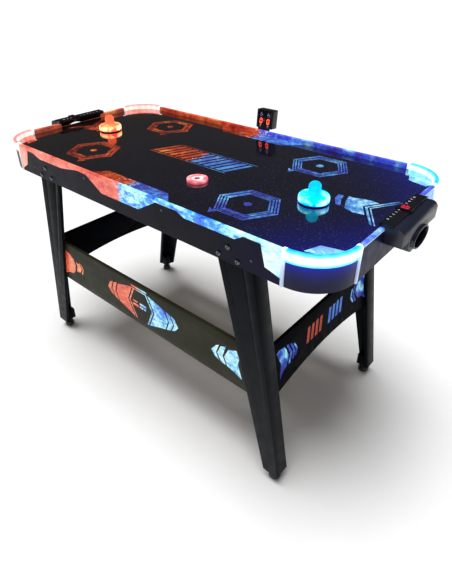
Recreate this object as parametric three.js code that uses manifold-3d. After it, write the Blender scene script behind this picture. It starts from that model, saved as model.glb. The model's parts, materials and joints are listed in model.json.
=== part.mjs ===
// A full-length air hockey table on four splayed legs: lit corner rails, goal boxes with
// score bars, an electronic scorer, a blower under the playing field, two pushers and a puck.
// Millimetres, +Z up, origin on the floor under the middle of the whole object's box.
// +X points to the blue (ice) end, -X to the red (fire) end, +Y to the scorer's side.
import * as THREE from 'three';
import { mergeVertices } from 'three/addons/utils/BufferGeometryUtils.js';
import Module from 'manifold-3d';

// ---------------------------------------------------------------- driving dimensions
const GAP = 0.3; // between pieces that touch
const THROUGH = 1; // how far a cutting solid runs past the face that it opens
const WELD = 1e-4; // points closer than this are one

// Table top
const HALF_LENGTH = 686; // middle to the outer face of an end board
const HALF_WIDTH = 343; // middle to the outer face of a side board
const RAIL_TOP = 846; // top of the boards above the floor
const BOARD_BOTTOM = 750;
const BOARD = 13; // board thickness
const RAIL_ROUND = 4; // radius on the boards' top edges
const CORNER_RADIUS = 117; // outer face of the rounded corners
const GROOVE_DEPTH = 5; // groove in the boards that holds the field

// Playing field and air chamber
const FIELD_TOP = 830;
const FIELD = 6; // field thickness
const TRAY_BOTTOM = 784;
const TRAY_WALL = 9;
const TRAY_FLOOR = 6;
const TRAY_HALF = [600, 275]; // half sizes: it lies between the legs' side panels
const AIR_HOLE = 48; // half side of the square hole in the tray's floor

// Corner light covers
const COVER_TOP = 850;
const COVER_PROUD = 2; // how far the cover stands out of the boards
const COVER_DEPTH = 15; // across the rail
const COVER_WALL = 2.5;
const COVER_SKIRT = 820; // lower edge of the cover's outer wall
const POST = 8; // width of the post at each end of a cover
const POST_DEPTH = 9.8;
const CORNER_STEPS = 5; // half the number of facets round a corner
const PANEL_SET_BACK = [12, 2]; // a corner panel's inner and outer faces, in from the boards'
const PANEL_MARGIN = 0.35; // degrees left free at each end of a corner panel
const LED = { count: 7, half: 2.5, height: 1.6, boardHalf: 3, boardThickness: 1.6, margin: 4 };

// Legs: the outer and inner edges lean outwards as they come down
const LEG_TOP = 812;
const LEG_BOTTOM = 38;
const LEG_OUTER = [473, 594]; // outer edge at the boards' bottom and at the leg's bottom
const LEG_INNER = [360, 541]; // inner edge at the same heights
const LEG_PANEL = 12;
const LEG_DEPTH = 53; // along Y
const LEG_BLOCK = { top: 84, inset: 5, back: 3, front: 1 }; // steps in from the leg's faces
const FOOT_PLACE = [568, 302];
const FOOT_PAD = [[0, 0], [16, 0], [18.5, 3], [18.5, 14], [15, 22], [10, 25], [10, 34]];
const STUD_RADIUS = 4;
const STUD_TOP = 66;
const STUD_ROOM = 2; // depth of the hole past the stud's end

// Bolts through the side boards into the legs: X and Z of each
const BOLTS = [[377, 766], [407, 794], [438, 764]];
const BOLT_RADIUS = 3;
const BOLT_HEAD = [[7.5, 0], [7.5, 1.4], [4.5, 3.5]]; // profile, radius and height
const NUT_PLATE = { x: [366, 449], z: [755, 804], thickness: 3 };

// Boards between the legs
const STRETCHER_TOP = 481;
const STRETCHER_BOTTOM = 308;
const ARCH_RISE = 34; // of the end boards' lower edge

// Goals
const GOAL_HALF_WIDTH = 100;
const HOOD_HALF_WIDTH = 108;
const HOOD_OUT = 733.5; // outer face of a goal box
const HOOD_TOP = 851.5;
const HOOD_BOTTOM = 806;
const HOOD_ROUND = 17;
const HOOD_WALL = 2.5;
const SCOOP_HALF_WIDTH = 62;
const SCOOP_BOTTOM = 765;
const SCOOP_ROUND = 35;
const SCOOP_OVERLAP = 2; // how far the scoop runs up into the goal box
const MOUTH = [42, 25, 796]; // half width, half height and middle height of the return mouth
const LIP = [4, 8]; // the mouth's lip: width and how far it stands out
const BAR_TOP = 857;
const BAR_X = [671, 704];
const BAR_LIP_BOTTOM = 843;
const BAR_EDGE = 1; // chamfer on the bar's top edges
const BAR_LIP = [3, 7]; // inner and outer faces, out from the end board's inner face
const BAR_LIP_FIT = 2; // free at each end, and how far the lip runs up into the bar
const SENSOR = { x: [14, 26], width: 10, z: [834, 844] }; // X out from the goal box's open side
const SLIDER_HALF_WIDTH = 12;
const SLIDER_WALL = 3;
const SLIDER_REACH = 4; // how far it laps down over the bar's field side
const SLIDER_CLEAR = 1; // between its outer side and the goal box's top
const POINTER = { height: 4, inset: 8, slope: 3, halfWidth: 3 };
const SLIDER_PLACES = { ice: 0, fire: -32 }; // Y of each score marker at rest

// Electronic scorer
const SCORER = { width: 72, depth: 31, height: 68, wall: 4, back: 3, round: 4, y: 347.6, z: 850, lean: 5 };
const WIRE_SLOT = { halfWidth: 8, fromBack: [10, 5] };
const SCORER_NECK = { halfWidth: 25, thickness: 8, bottom: 775, intoCase: 3 };
const SCORER_WINDOW = { halfWidth: 30, low: 15, high: 63, thickness: 2.5 };
const SCORER_LENS = { side: 5, below: 8, above: 6 }; // ledge left round the window's opening
const SCORER_BUTTONS = { spread: 17, height: 9.5, radius: 3.5, flange: [1.5, 1.2], stand: 2, edge: 0.6 };

// Blower under the tray
const FAN_HALF = 60;
const FAN_BOTTOM = 758.5;
const FAN_DUCT = 57;
const FAN_HUB = 20;
const FAN_BLADES = 7;
const GRILLE_BOTTOM = 754.5;
const GRILLE = { rings: [18, 32, 46], wire: 2.5, barHalf: 2, tabHalf: 5, shorter: 2 };
const FAN_BLADE = { halfWidth: 10, halfThickness: 1.2, pitch: 38, intoHub: 3, tipGap: 3 };
const FAN_STRUT = { halfWidth: 3, thickness: 4 };
const HUB_HEIGHT = 6; // of the motor in the hub
const SHAFT = { radius: 2, bottom: 3, room: 1 }; // bottom above the frame's, hole deeper by the room
const IMPELLER_CLEAR = 2; // below the tray
const CONTROL_BOX = { x: [120, 226], y: [232, 300], bottom: 758 };

// Control panel on the back board
const PANEL = { x: [168, 240], z: [756, 788], thickness: 3, overlap: 4 };
const ROCKER = { x: 187, z: 772, halfWidth: 7, halfHeight: 8.8, tilt: 8, proud: 2.6, dip: 1, back: [6, 4] };
const INLET = { x: 219, z: 772, radius: 2.9, body: 6, floor: 3, fromInside: 1 };

// Pushers and puck: X, Y of each
const BASE = { radius: 41, top: 4 };
const PUSHER_RADIUS = 42;
const PUSHER_WALL = 2.5;
// Profiles of a pusher's shell above its seam: the outside from the rim to the knob's top
const PUSHER_OUTSIDE = [
  [42, 16], [39, 21], [31, 24], [19, 25.5], [17, 30], [17, 45], [13, 53], [7, 57], [0, 58],
];
// and the inside from the knob's top to the rim
const PUSHER_INSIDE = [[0, 55.5], [9, 52.5], [14.5, 42.5], [14.5, 22], [30, 20], [39.5, 15]];
const LAMP = [[24, 0], [24, 1.6], [4, 1.6], [4, 5], [0, 7]]; // profile above the base
const PUSHER_PLACES = { ice: [467, -59], fire: [-491, 4] };
const PUCK_RADIUS = 32;
const PUCK_HEIGHT = 9;
const PUCK_EDGE = 1;
const PUCK_CORE = 19;
const PUCK_PLACE = [128, -153];

// ---------------------------------------------------------------- solids
const wasm = await Module();
wasm.setup();
const QUARTER_TURN = Math.PI / 2;

function toSolid(geometry) {
  const plain = geometry.clone();
  plain.deleteAttribute('normal');
  plain.deleteAttribute('uv');
  const merged = mergeVertices(plain, WELD);
  return new wasm.Manifold(new wasm.Mesh({
    numProp: 3,
    vertProperties: merged.attributes.position.array,
    triVerts: new Uint32Array(merged.index.array),
  }));
}

function toGeometry(solid) {
  const { vertProperties, triVerts } = solid.getMesh();
  const geometry = new THREE.BufferGeometry();
  geometry.setAttribute('position', new THREE.BufferAttribute(vertProperties, 3));
  geometry.setIndex(new THREE.BufferAttribute(triVerts, 1));
  geometry.computeVertexNormals();
  return geometry;
}

function join(first, ...others) {
  return toGeometry(others.reduce((solid, other) => solid.add(toSolid(other)), toSolid(first)));
}

function cut(body, ...tools) {
  return toGeometry(tools.reduce((solid, tool) => solid.subtract(toSolid(tool)), toSolid(body)));
}

// ---------------------------------------------------------------- basic shapes
function outline(points) {
  return new THREE.Shape(points.map(([a, b]) => new THREE.Vector2(a, b)));
}

function extrude(shape, depth, curveSegments) {
  return new THREE.ExtrudeGeometry(shape, { depth, bevelEnabled: false, curveSegments });
}

// An X-Y outline made solid between two heights
function prismAlongZ(shape, low, high, curveSegments = 6) {
  return extrude(shape, high - low, curveSegments).translate(0, 0, low);
}

// An X-Z outline made solid between two Y places
function prismAlongY(shape, low, high, curveSegments = 3) {
  return extrude(shape, high - low, curveSegments).rotateX(QUARTER_TURN).translate(0, high, 0);
}

// A Y-Z outline made solid between two X places
function prismAlongX(shape, low, high, curveSegments = 3) {
  const geometry = extrude(shape, high - low, curveSegments);
  return geometry.rotateX(QUARTER_TURN).rotateZ(QUARTER_TURN).translate(low, 0, 0);
}

function block([x0, x1], [y0, y1], [z0, z1]) {
  const geometry = new THREE.BoxGeometry(x1 - x0, y1 - y0, z1 - z0);
  return geometry.translate((x0 + x1) / 2, (y0 + y1) / 2, (z0 + z1) / 2);
}

function rodAlongZ(radius, x, y, [low, high], sides = 12) {
  const geometry = new THREE.CylinderGeometry(radius, radius, high - low, sides);
  return geometry.rotateX(QUARTER_TURN).translate(x, y, (low + high) / 2);
}

function rodAlongY(radius, x, z, [low, high], sides = 8) {
  const geometry = new THREE.CylinderGeometry(radius, radius, high - low, sides);
  return geometry.translate(x, (low + high) / 2, z);
}

// A profile of [radius, height] pairs turned about Z; it runs up the outside
function turned(profile, sides) {
  const points = profile.map(([radius, height]) => new THREE.Vector2(radius, height));
  return new THREE.LatheGeometry(points, sides).rotateX(QUARTER_TURN);
}

function ringSector(inner, outer, margin = 0) {
  const shape = new THREE.Shape();
  shape.absarc(0, 0, outer, margin, QUARTER_TURN - margin, false);
  shape.absarc(0, 0, inner, QUARTER_TURN - margin, margin, true);
  return shape;
}

function roundedRectangle(halfX, halfY, radius) {
  const shape = new THREE.Shape();
  shape.absarc(halfX - radius, halfY - radius, radius, 0, QUARTER_TURN, false);
  shape.absarc(radius - halfX, halfY - radius, radius, QUARTER_TURN, 2 * QUARTER_TURN, false);
  shape.absarc(radius - halfX, radius - halfY, radius, 2 * QUARTER_TURN, 3 * QUARTER_TURN, false);
  shape.absarc(halfX - radius, radius - halfY, radius, 3 * QUARTER_TURN, 4 * QUARTER_TURN, false);
  return shape;
}

// ---------------------------------------------------------------- worked-out places
const CORNER_X = HALF_LENGTH - CORNER_RADIUS;
const CORNER_Y = HALF_WIDTH - CORNER_RADIUS;
const INNER_X = HALF_LENGTH - BOARD;
const INNER_Y = HALF_WIDTH - BOARD;
const FIELD_BOTTOM = FIELD_TOP - FIELD;
const LEG_DROP = BOARD_BOTTOM - LEG_BOTTOM;
const LEG_Y = INNER_Y - GAP; // outer face of a leg's front panel
const OUTER_SLOPE = (LEG_OUTER[1] - LEG_OUTER[0]) / LEG_DROP;
const INNER_SLOPE = (LEG_INNER[1] - LEG_INNER[0]) / LEG_DROP;
const LEG_LEAN = Math.atan(OUTER_SLOPE);
const LEG_SKIN = LEG_PANEL / Math.cos(LEG_LEAN); // the leaning side panel, measured level
const SCORER_LEAN = THREE.MathUtils.degToRad(SCORER.lean);

function legOuterX(z) {
  return LEG_OUTER[0] + (BOARD_BOTTOM - z) * OUTER_SLOPE;
}

function legInnerX(z) {
  return LEG_INNER[0] + (BOARD_BOTTOM - z) * INNER_SLOPE;
}

// ---------------------------------------------------------------- the group
const table = new THREE.Group();
const parts = new THREE.Group();
table.add(parts);

function finish(color, roughness, metalness = 0) {
  return new THREE.MeshStandardMaterial({ color, roughness, metalness });
}

const FINISH = {
  board: finish(0x16181c, 0.45),
  field: finish(0x08080a, 0.12),
  tray: finish(0x8a6f52, 0.8),
  leg: finish(0x17191d, 0.5),
  stretcher: finish(0x24251f, 0.5),
  fireLight: finish(0xffb9a0, 0.35),
  iceLight: finish(0xbff6ff, 0.35),
  circuit: finish(0x1f5a34, 0.5),
  plastic: finish(0x121316, 0.4),
  silver: finish(0xd8dcdd, 0.35),
  red: finish(0xc4122a, 0.35),
  window: finish(0x1a0608, 0.15),
  steel: finish(0xaeb2b6, 0.35, 1),
  foot: finish(0x0d0d0e, 0.6),
  firePusher: finish(0xff8f3a, 0.3),
  icePusher: finish(0x3ff0ff, 0.3),
  felt: finish(0x1c1c1e, 0.95),
  puck: finish(0xf0728a, 0.3),
};

function add(name, geometry, material, parent = parts) {
  const mesh = new THREE.Mesh(geometry, material);
  mesh.name = name;
  parent.add(mesh);
  return mesh;
}

// The four quarters of the table: a name and the signs of X and Y
const QUARTERS = [
  ['ice_back', 1, 1],
  ['ice_front', 1, -1],
  ['fire_back', -1, 1],
  ['fire_front', -1, -1],
];

function addToQuarters(name, geometry, materialFor) {
  for (const [quarter, x, y] of QUARTERS) {
    add(`${name}_${quarter}`, geometry, materialFor(quarter)).scale.set(x, y, 1);
  }
}

// ---------------------------------------------------------------- table top
// Section of a board, from its inner face at 0 to its outer face
function railSection(innerFace) {
  const shape = new THREE.Shape();
  const outerFace = innerFace + BOARD;
  shape.moveTo(innerFace, BOARD_BOTTOM);
  shape.lineTo(outerFace, BOARD_BOTTOM);
  shape.absarc(outerFace - RAIL_ROUND, RAIL_TOP - RAIL_ROUND, RAIL_ROUND, 0, QUARTER_TURN, false);
  shape.absarc(innerFace + RAIL_ROUND, RAIL_TOP - RAIL_ROUND, RAIL_ROUND, QUARTER_TURN, Math.PI, false);
  shape.lineTo(innerFace, FIELD_TOP + GAP);
  shape.lineTo(innerFace + GROOVE_DEPTH, FIELD_TOP + GAP);
  shape.lineTo(innerFace + GROOVE_DEPTH, FIELD_BOTTOM - GAP);
  shape.lineTo(innerFace, FIELD_BOTTOM - GAP);
  return shape;
}

function boltHoles(yRange) {
  const radius = BOLT_RADIUS + GAP;
  return BOLTS.flatMap(([x, z]) => [rodAlongY(radius, x, z, yRange), rodAlongY(radius, -x, z, yRange)]);
}

function sideApron(...moreCuts) {
  const end = CORNER_X - POST - GAP;
  const board = prismAlongX(railSection(INNER_Y), -end, end, 2);
  return cut(board, ...boltHoles([INNER_Y - THROUGH, HALF_WIDTH + THROUGH]), ...moreCuts);
}

function endApron() {
  const end = CORNER_Y - POST - GAP;
  const board = prismAlongY(railSection(INNER_X), -end, end, 2);
  const goal = block(
    [INNER_X - THROUGH, HALF_LENGTH + THROUGH],
    [-GOAL_HALF_WIDTH, GOAL_HALF_WIDTH],
    [FIELD_TOP - GAP, RAIL_TOP + THROUGH],
  );
  return cut(board, goal);
}

function playfield() {
  const reach = GROOVE_DEPTH - GAP;
  const radius = CORNER_RADIUS - BOARD + reach;
  const shape = roundedRectangle(INNER_X + reach, INNER_Y + reach, radius);
  return prismAlongZ(shape, FIELD_BOTTOM, FIELD_TOP, CORNER_STEPS);
}

// A shallow tray under the field, with a square hole over the fan
function airTray() {
  const [halfX, halfY] = TRAY_HALF;
  const top = FIELD_BOTTOM - GAP;
  const tray = block([-halfX, halfX], [-halfY, halfY], [TRAY_BOTTOM, top]);
  const hollow = block(
    [TRAY_WALL - halfX, halfX - TRAY_WALL],
    [TRAY_WALL - halfY, halfY - TRAY_WALL],
    [TRAY_BOTTOM + TRAY_FLOOR, top + THROUGH],
  );
  const airHole = block([-AIR_HOLE, AIR_HOLE], [-AIR_HOLE, AIR_HOLE], [TRAY_BOTTOM - THROUGH, top]);
  return cut(tray, hollow, airHole);
}

const backPanelCut = block(
  [PANEL.x[0] + PANEL.overlap, PANEL.x[1] - PANEL.overlap],
  [INNER_Y - THROUGH, HALF_WIDTH + THROUGH],
  [PANEL.z[0] + PANEL.overlap, PANEL.z[1] - PANEL.overlap],
);
add('playfield', playfield(), FINISH.field);
add('air_chamber_tray', airTray(), FINISH.tray);
add('apron_back', sideApron(backPanelCut), FINISH.board);
add('apron_front', sideApron(), FINISH.board).scale.y = -1;
add('apron_end_ice', endApron(), FINISH.board);
add('apron_end_fire', endApron(), FINISH.board).scale.x = -1;

// ---------------------------------------------------------------- lit corners
const COVER_OUTER = CORNER_RADIUS + COVER_PROUD;
const COVER_INNER = COVER_OUTER - COVER_DEPTH;

// The cover is a channel, open below, with a post down to the boards' bottom at each end
function cornerCover() {
  const seat = FIELD_TOP + GAP;
  const cover = prismAlongZ(ringSector(COVER_INNER, COVER_OUTER), seat, COVER_TOP, CORNER_STEPS);
  const skirt = prismAlongZ(
    ringSector(COVER_OUTER - COVER_WALL, COVER_OUTER),
    COVER_SKIRT,
    seat + THROUGH,
    CORNER_STEPS,
  );
  const hollow = prismAlongZ(
    ringSector(COVER_INNER + COVER_WALL, COVER_OUTER - COVER_WALL),
    COVER_SKIRT - THROUGH,
    COVER_TOP - COVER_WALL,
    CORNER_STEPS,
  );
  const channel = cut(join(cover, skirt), hollow);
  const postReach = [COVER_OUTER - POST_DEPTH, COVER_OUTER];
  const capReach = [COVER_INNER, COVER_OUTER];
  const postWidth = [-POST, GAP];
  const posts = [
    block(postWidth, postReach, [BOARD_BOTTOM, COVER_TOP]),
    block(postWidth, capReach, [seat, COVER_TOP]),
    block(postReach, postWidth, [BOARD_BOTTOM, COVER_TOP]),
    block(capReach, postWidth, [seat, COVER_TOP]),
  ];
  return join(channel, ...posts).translate(CORNER_X, CORNER_Y, 0);
}

function cornerPanel() {
  const [inner, outer] = PANEL_SET_BACK.map((step) => CORNER_RADIUS - step);
  const shape = ringSector(inner, outer, THREE.MathUtils.degToRad(PANEL_MARGIN));
  const top = FIELD_BOTTOM - 2 * GAP;
  return prismAlongZ(shape, BOARD_BOTTOM, top, CORNER_STEPS).translate(CORNER_X, CORNER_Y, 0);
}

// A curved circuit board with a row of square lamps
function ledStrip() {
  const middle = (COVER_INNER + COVER_OUTER) / 2;
  const low = FIELD_TOP + 2 * GAP;
  const boardTop = low + LED.boardThickness;
  const endMargin = THREE.MathUtils.degToRad(LED.margin);
  const boardShape = ringSector(middle - LED.boardHalf, middle + LED.boardHalf, endMargin);
  const board = prismAlongZ(boardShape, low, boardTop, CORNER_STEPS);
  const firstAngle = endMargin * 2;
  const angleStep = (QUARTER_TURN - firstAngle * 2) / (LED.count - 1);
  const lampBlocks = Array.from({ length: LED.count }, (_, i) => {
    const lamp = block(
      [middle - LED.half, middle + LED.half],
      [-LED.half, LED.half],
      [boardTop - GAP, boardTop + LED.height],
    );
    return lamp.rotateZ(firstAngle + i * angleStep);
  });
  return join(board, ...lampBlocks).translate(CORNER_X, CORNER_Y, 0);
}

const lightFor = (quarter) => (quarter.startsWith('ice') ? FINISH.iceLight : FINISH.fireLight);
addToQuarters('corner_cover', cornerCover(), lightFor);
addToQuarters('corner_panel', cornerPanel(), () => FINISH.board);
addToQuarters('led_strip', ledStrip(), () => FINISH.circuit);

// ---------------------------------------------------------------- stand
// A leg is a tapered front panel, a leaning side panel and a block that takes the foot's stud
function leg() {
  const frontPanel = outline([
    [legInnerX(LEG_BOTTOM), LEG_BOTTOM],
    [legOuterX(LEG_BOTTOM), LEG_BOTTOM],
    [legOuterX(LEG_TOP), LEG_TOP],
    [legInnerX(LEG_TOP), LEG_TOP],
  ]);
  const sidePanel = outline([
    [legOuterX(LEG_BOTTOM) - LEG_SKIN, LEG_BOTTOM],
    [legOuterX(LEG_BOTTOM), LEG_BOTTOM],
    [legOuterX(LEG_TOP), LEG_TOP],
    [legOuterX(LEG_TOP) - LEG_SKIN, LEG_TOP],
  ]);
  const footBlock = block(
    [legInnerX(LEG_BOTTOM) + LEG_BLOCK.inset, legOuterX(LEG_BLOCK.top) - LEG_SKIN / 2],
    [LEG_Y - LEG_DEPTH + LEG_BLOCK.back, LEG_Y - LEG_BLOCK.front],
    [LEG_BOTTOM, LEG_BLOCK.top],
  );
  const studReach = [LEG_BOTTOM - THROUGH, STUD_TOP + STUD_ROOM];
  const studHole = rodAlongZ(STUD_RADIUS + GAP, ...FOOT_PLACE, studReach, 10);
  const boltReach = [LEG_Y - LEG_PANEL - THROUGH, LEG_Y + THROUGH];
  const holes = BOLTS.map(([x, z]) => rodAlongY(BOLT_RADIUS + GAP, x, z, boltReach));
  return cut(
    join(
      prismAlongY(frontPanel, LEG_Y - LEG_PANEL, LEG_Y),
      prismAlongY(sidePanel, LEG_Y - LEG_DEPTH, LEG_Y),
      footBlock,
    ),
    studHole,
    ...holes,
  );
}

// Three bolts with their heads outside and one plate behind that they all screw into
function legBolts() {
  const plateY = LEG_Y - LEG_PANEL - GAP;
  const plate = block(NUT_PLATE.x, [plateY - NUT_PLATE.thickness, plateY], NUT_PLATE.z);
  const bolts = BOLTS.map(([x, z]) => {
    const head = turned([[0, 0], ...BOLT_HEAD, [0, BOLT_HEAD.at(-1)[1]]], 8);
    head.rotateX(-QUARTER_TURN).translate(x, HALF_WIDTH + GAP, z);
    return join(head, rodAlongY(BOLT_RADIUS, x, z, [plateY - THROUGH, HALF_WIDTH + THROUGH]));
  });
  return join(plate, ...bolts);
}

// A round pad under a stud that screws up into the leg's block
function levellingFoot() {
  const collarTop = FOOT_PAD.at(-1)[1];
  const stud = [[STUD_RADIUS, collarTop], [STUD_RADIUS, STUD_TOP], [0, STUD_TOP]];
  return turned([...FOOT_PAD, ...stud], 12);
}

addToQuarters('leg', leg(), () => FINISH.leg);
addToQuarters('leg_bolts', legBolts(), () => FINISH.steel);
for (const [quarter, x, y] of QUARTERS) {
  const foot = add(`levelling_foot_${quarter}`, levellingFoot(), FINISH.foot);
  foot.position.set(x * FOOT_PLACE[0], y * FOOT_PLACE[1], 0);
}

// The long boards stand behind the legs' front panels, and end at the side panels
function sideStretcher() {
  const endX = (z) => legOuterX(z) - LEG_SKIN - GAP;
  const shape = outline([
    [-endX(STRETCHER_BOTTOM), STRETCHER_BOTTOM],
    [endX(STRETCHER_BOTTOM), STRETCHER_BOTTOM],
    [endX(STRETCHER_TOP), STRETCHER_TOP],
    [-endX(STRETCHER_TOP), STRETCHER_TOP],
  ]);
  const outerFace = LEG_Y - LEG_PANEL - GAP;
  return prismAlongY(shape, outerFace - LEG_PANEL, outerFace);
}

// The short boards lean with the legs' side panels and have an arched lower edge
function endStretcher() {
  const halfSpan = LEG_Y - 2 * (LEG_PANEL + GAP) - GAP;
  const drop = (STRETCHER_TOP - STRETCHER_BOTTOM) / Math.cos(LEG_LEAN);
  const shape = new THREE.Shape();
  shape.moveTo(-halfSpan, 0);
  shape.lineTo(-halfSpan, -drop);
  shape.quadraticCurveTo(0, -drop + 2 * ARCH_RISE, halfSpan, -drop);
  shape.lineTo(halfSpan, 0);
  const board = prismAlongX(shape, -LEG_PANEL, 0, 10);
  return board.rotateY(-LEG_LEAN).translate(
    legOuterX(STRETCHER_TOP) - LEG_SKIN - GAP,
    0,
    STRETCHER_TOP,
  );
}

add('stretcher_back', sideStretcher(), FINISH.stretcher);
add('stretcher_front', sideStretcher(), FINISH.stretcher).scale.y = -1;
add('stretcher_ice', endStretcher(), FINISH.stretcher);
add('stretcher_fire', endStretcher(), FINISH.stretcher).scale.x = -1;

// ---------------------------------------------------------------- goals
const HOOD_IN = HALF_LENGTH + GAP;

function hoodSection(inset) {
  const radius = HOOD_ROUND - inset;
  const low = HOOD_BOTTOM + inset;
  const innerX = inset > 0 ? HOOD_IN - THROUGH : HOOD_IN;
  const shape = new THREE.Shape();
  shape.moveTo(innerX, low);
  shape.lineTo(HOOD_OUT - inset, low);
  shape.absarc(HOOD_OUT - HOOD_ROUND, HOOD_TOP - HOOD_ROUND, radius, 0, QUARTER_TURN, false);
  shape.lineTo(innerX, HOOD_TOP - inset);
  return shape;
}

function scoopOutline(inset) {
  const radius = SCOOP_ROUND - inset;
  const half = SCOOP_HALF_WIDTH - inset;
  const rim = HOOD_BOTTOM + HOOD_WALL + SCOOP_OVERLAP;
  const turnZ = SCOOP_BOTTOM + SCOOP_ROUND;
  const shape = new THREE.Shape();
  shape.moveTo(half, rim);
  shape.lineTo(-half, rim);
  shape.absarc(radius - half, turnZ, radius, Math.PI, 3 * QUARTER_TURN, false);
  shape.absarc(half - radius, turnZ, radius, 3 * QUARTER_TURN, 4 * QUARTER_TURN, false);
  return shape;
}

function mouthOutline(margin) {
  const [halfWidth, halfHeight, middle] = MOUTH;
  const shape = new THREE.Shape();
  shape.absellipse(0, middle, halfWidth + margin, halfHeight + margin, 0, 2 * Math.PI, false, 0);
  return shape;
}

// A hollow box, open towards the table, with a scoop below and an oval mouth facing outwards
function goalHood() {
  const shell = join(
    prismAlongY(hoodSection(0), -HOOD_HALF_WIDTH, HOOD_HALF_WIDTH),
    prismAlongX(scoopOutline(0), HOOD_IN, HOOD_OUT),
    prismAlongX(mouthOutline(LIP[0]), HOOD_OUT - THROUGH, HOOD_OUT + LIP[1], 10),
  );
  return cut(
    shell,
    prismAlongY(hoodSection(HOOD_WALL), HOOD_WALL - HOOD_HALF_WIDTH, HOOD_HALF_WIDTH - HOOD_WALL),
    prismAlongX(scoopOutline(HOOD_WALL), HOOD_IN - THROUGH, HOOD_OUT - HOOD_WALL),
    prismAlongX(mouthOutline(0), HOOD_OUT - HOOD_WALL - THROUGH, HOOD_OUT + LIP[1] + THROUGH, 10),
  );
}

// The bar lies on the goal box and the end board, and its lip closes the top of the goal
function scoreBar() {
  const section = outline([
    [BAR_X[0], RAIL_TOP + GAP],
    [HOOD_IN, RAIL_TOP + GAP],
    [HOOD_IN, HOOD_TOP + GAP],
    [BAR_X[1], HOOD_TOP + GAP],
    [BAR_X[1], BAR_TOP - BAR_EDGE],
    [BAR_X[1] - BAR_EDGE, BAR_TOP],
    [BAR_X[0] + BAR_EDGE, BAR_TOP],
    [BAR_X[0], BAR_TOP - BAR_EDGE],
  ]);
  const lipHalf = GOAL_HALF_WIDTH - BAR_LIP_FIT;
  const lipFaces = BAR_LIP.map((step) => INNER_X + step);
  const lip = block(lipFaces, [-lipHalf, lipHalf], [BAR_LIP_BOTTOM, RAIL_TOP + BAR_LIP_FIT]);
  return join(prismAlongY(section, -HOOD_HALF_WIDTH, HOOD_HALF_WIDTH), lip);
}

// A saddle over the bar with a half-round tab that hangs on the field's side
function scoreSlider() {
  const [barIn, barOut] = [BAR_X[0] - GAP, BAR_X[1] + GAP];
  const lapBottom = BAR_TOP - SLIDER_REACH;
  const outerBottom = HOOD_TOP + SLIDER_CLEAR;
  const low = BAR_TOP + GAP;
  const top = low + SLIDER_WALL;
  const section = outline([
    [barIn - SLIDER_WALL, lapBottom],
    [barIn, lapBottom],
    [barIn, low],
    [barOut, low],
    [barOut, outerBottom],
    [barOut + SLIDER_WALL, outerBottom],
    [barOut + SLIDER_WALL, top],
    [barIn - SLIDER_WALL, top],
  ]);
  const tab = new THREE.Shape();
  tab.absarc(0, lapBottom, SLIDER_HALF_WIDTH, Math.PI, 2 * Math.PI, false);
  tab.lineTo(SLIDER_HALF_WIDTH, BAR_TOP);
  tab.lineTo(-SLIDER_HALF_WIDTH, BAR_TOP);
  const foot = [BAR_X[0] + POINTER.inset, BAR_X[1] - POINTER.inset];
  const pointer = outline([
    [foot[0], top - 1],
    [foot[1], top - 1],
    [foot[1] - POINTER.slope, top + POINTER.height],
    [foot[0] + POINTER.slope, top + POINTER.height],
  ]);
  return join(
    prismAlongY(section, -SLIDER_HALF_WIDTH, SLIDER_HALF_WIDTH),
    prismAlongX(tab, barIn - SLIDER_WALL, barIn, 5),
    prismAlongY(pointer, -POINTER.halfWidth, POINTER.halfWidth),
  );
}

// A goal sensor stands against the goal box's side wall
function goalSensor() {
  const wallFace = HOOD_HALF_WIDTH - HOOD_WALL - GAP;
  const reach = SENSOR.x.map((step) => HOOD_IN + step);
  return block(reach, [wallFace - SENSOR.width, wallFace], SENSOR.z);
}

for (const [end, sign] of [['ice', 1], ['fire', -1]]) {
  add(`goal_hood_${end}`, goalHood(), FINISH.plastic).scale.x = sign;
  add(`score_bar_${end}`, scoreBar(), FINISH.plastic).scale.x = sign;
  add(`goal_sensor_${end}`, goalSensor(), FINISH.circuit).scale.x = sign;
  const slider = add(`score_slider_${end}`, scoreSlider(), end === 'ice' ? FINISH.red : FINISH.silver);
  slider.scale.x = sign;
  slider.position.y = SLIDER_PLACES[end];
}

// ---------------------------------------------------------------- electronic scorer
// In the scorer's own frame its front face is at Y 0 and its lower edge at Z 0
const scorer = new THREE.Group();
scorer.position.set(0, SCORER.y, SCORER.z);
scorer.rotation.x = -SCORER_LEAN;
parts.add(scorer);

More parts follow.
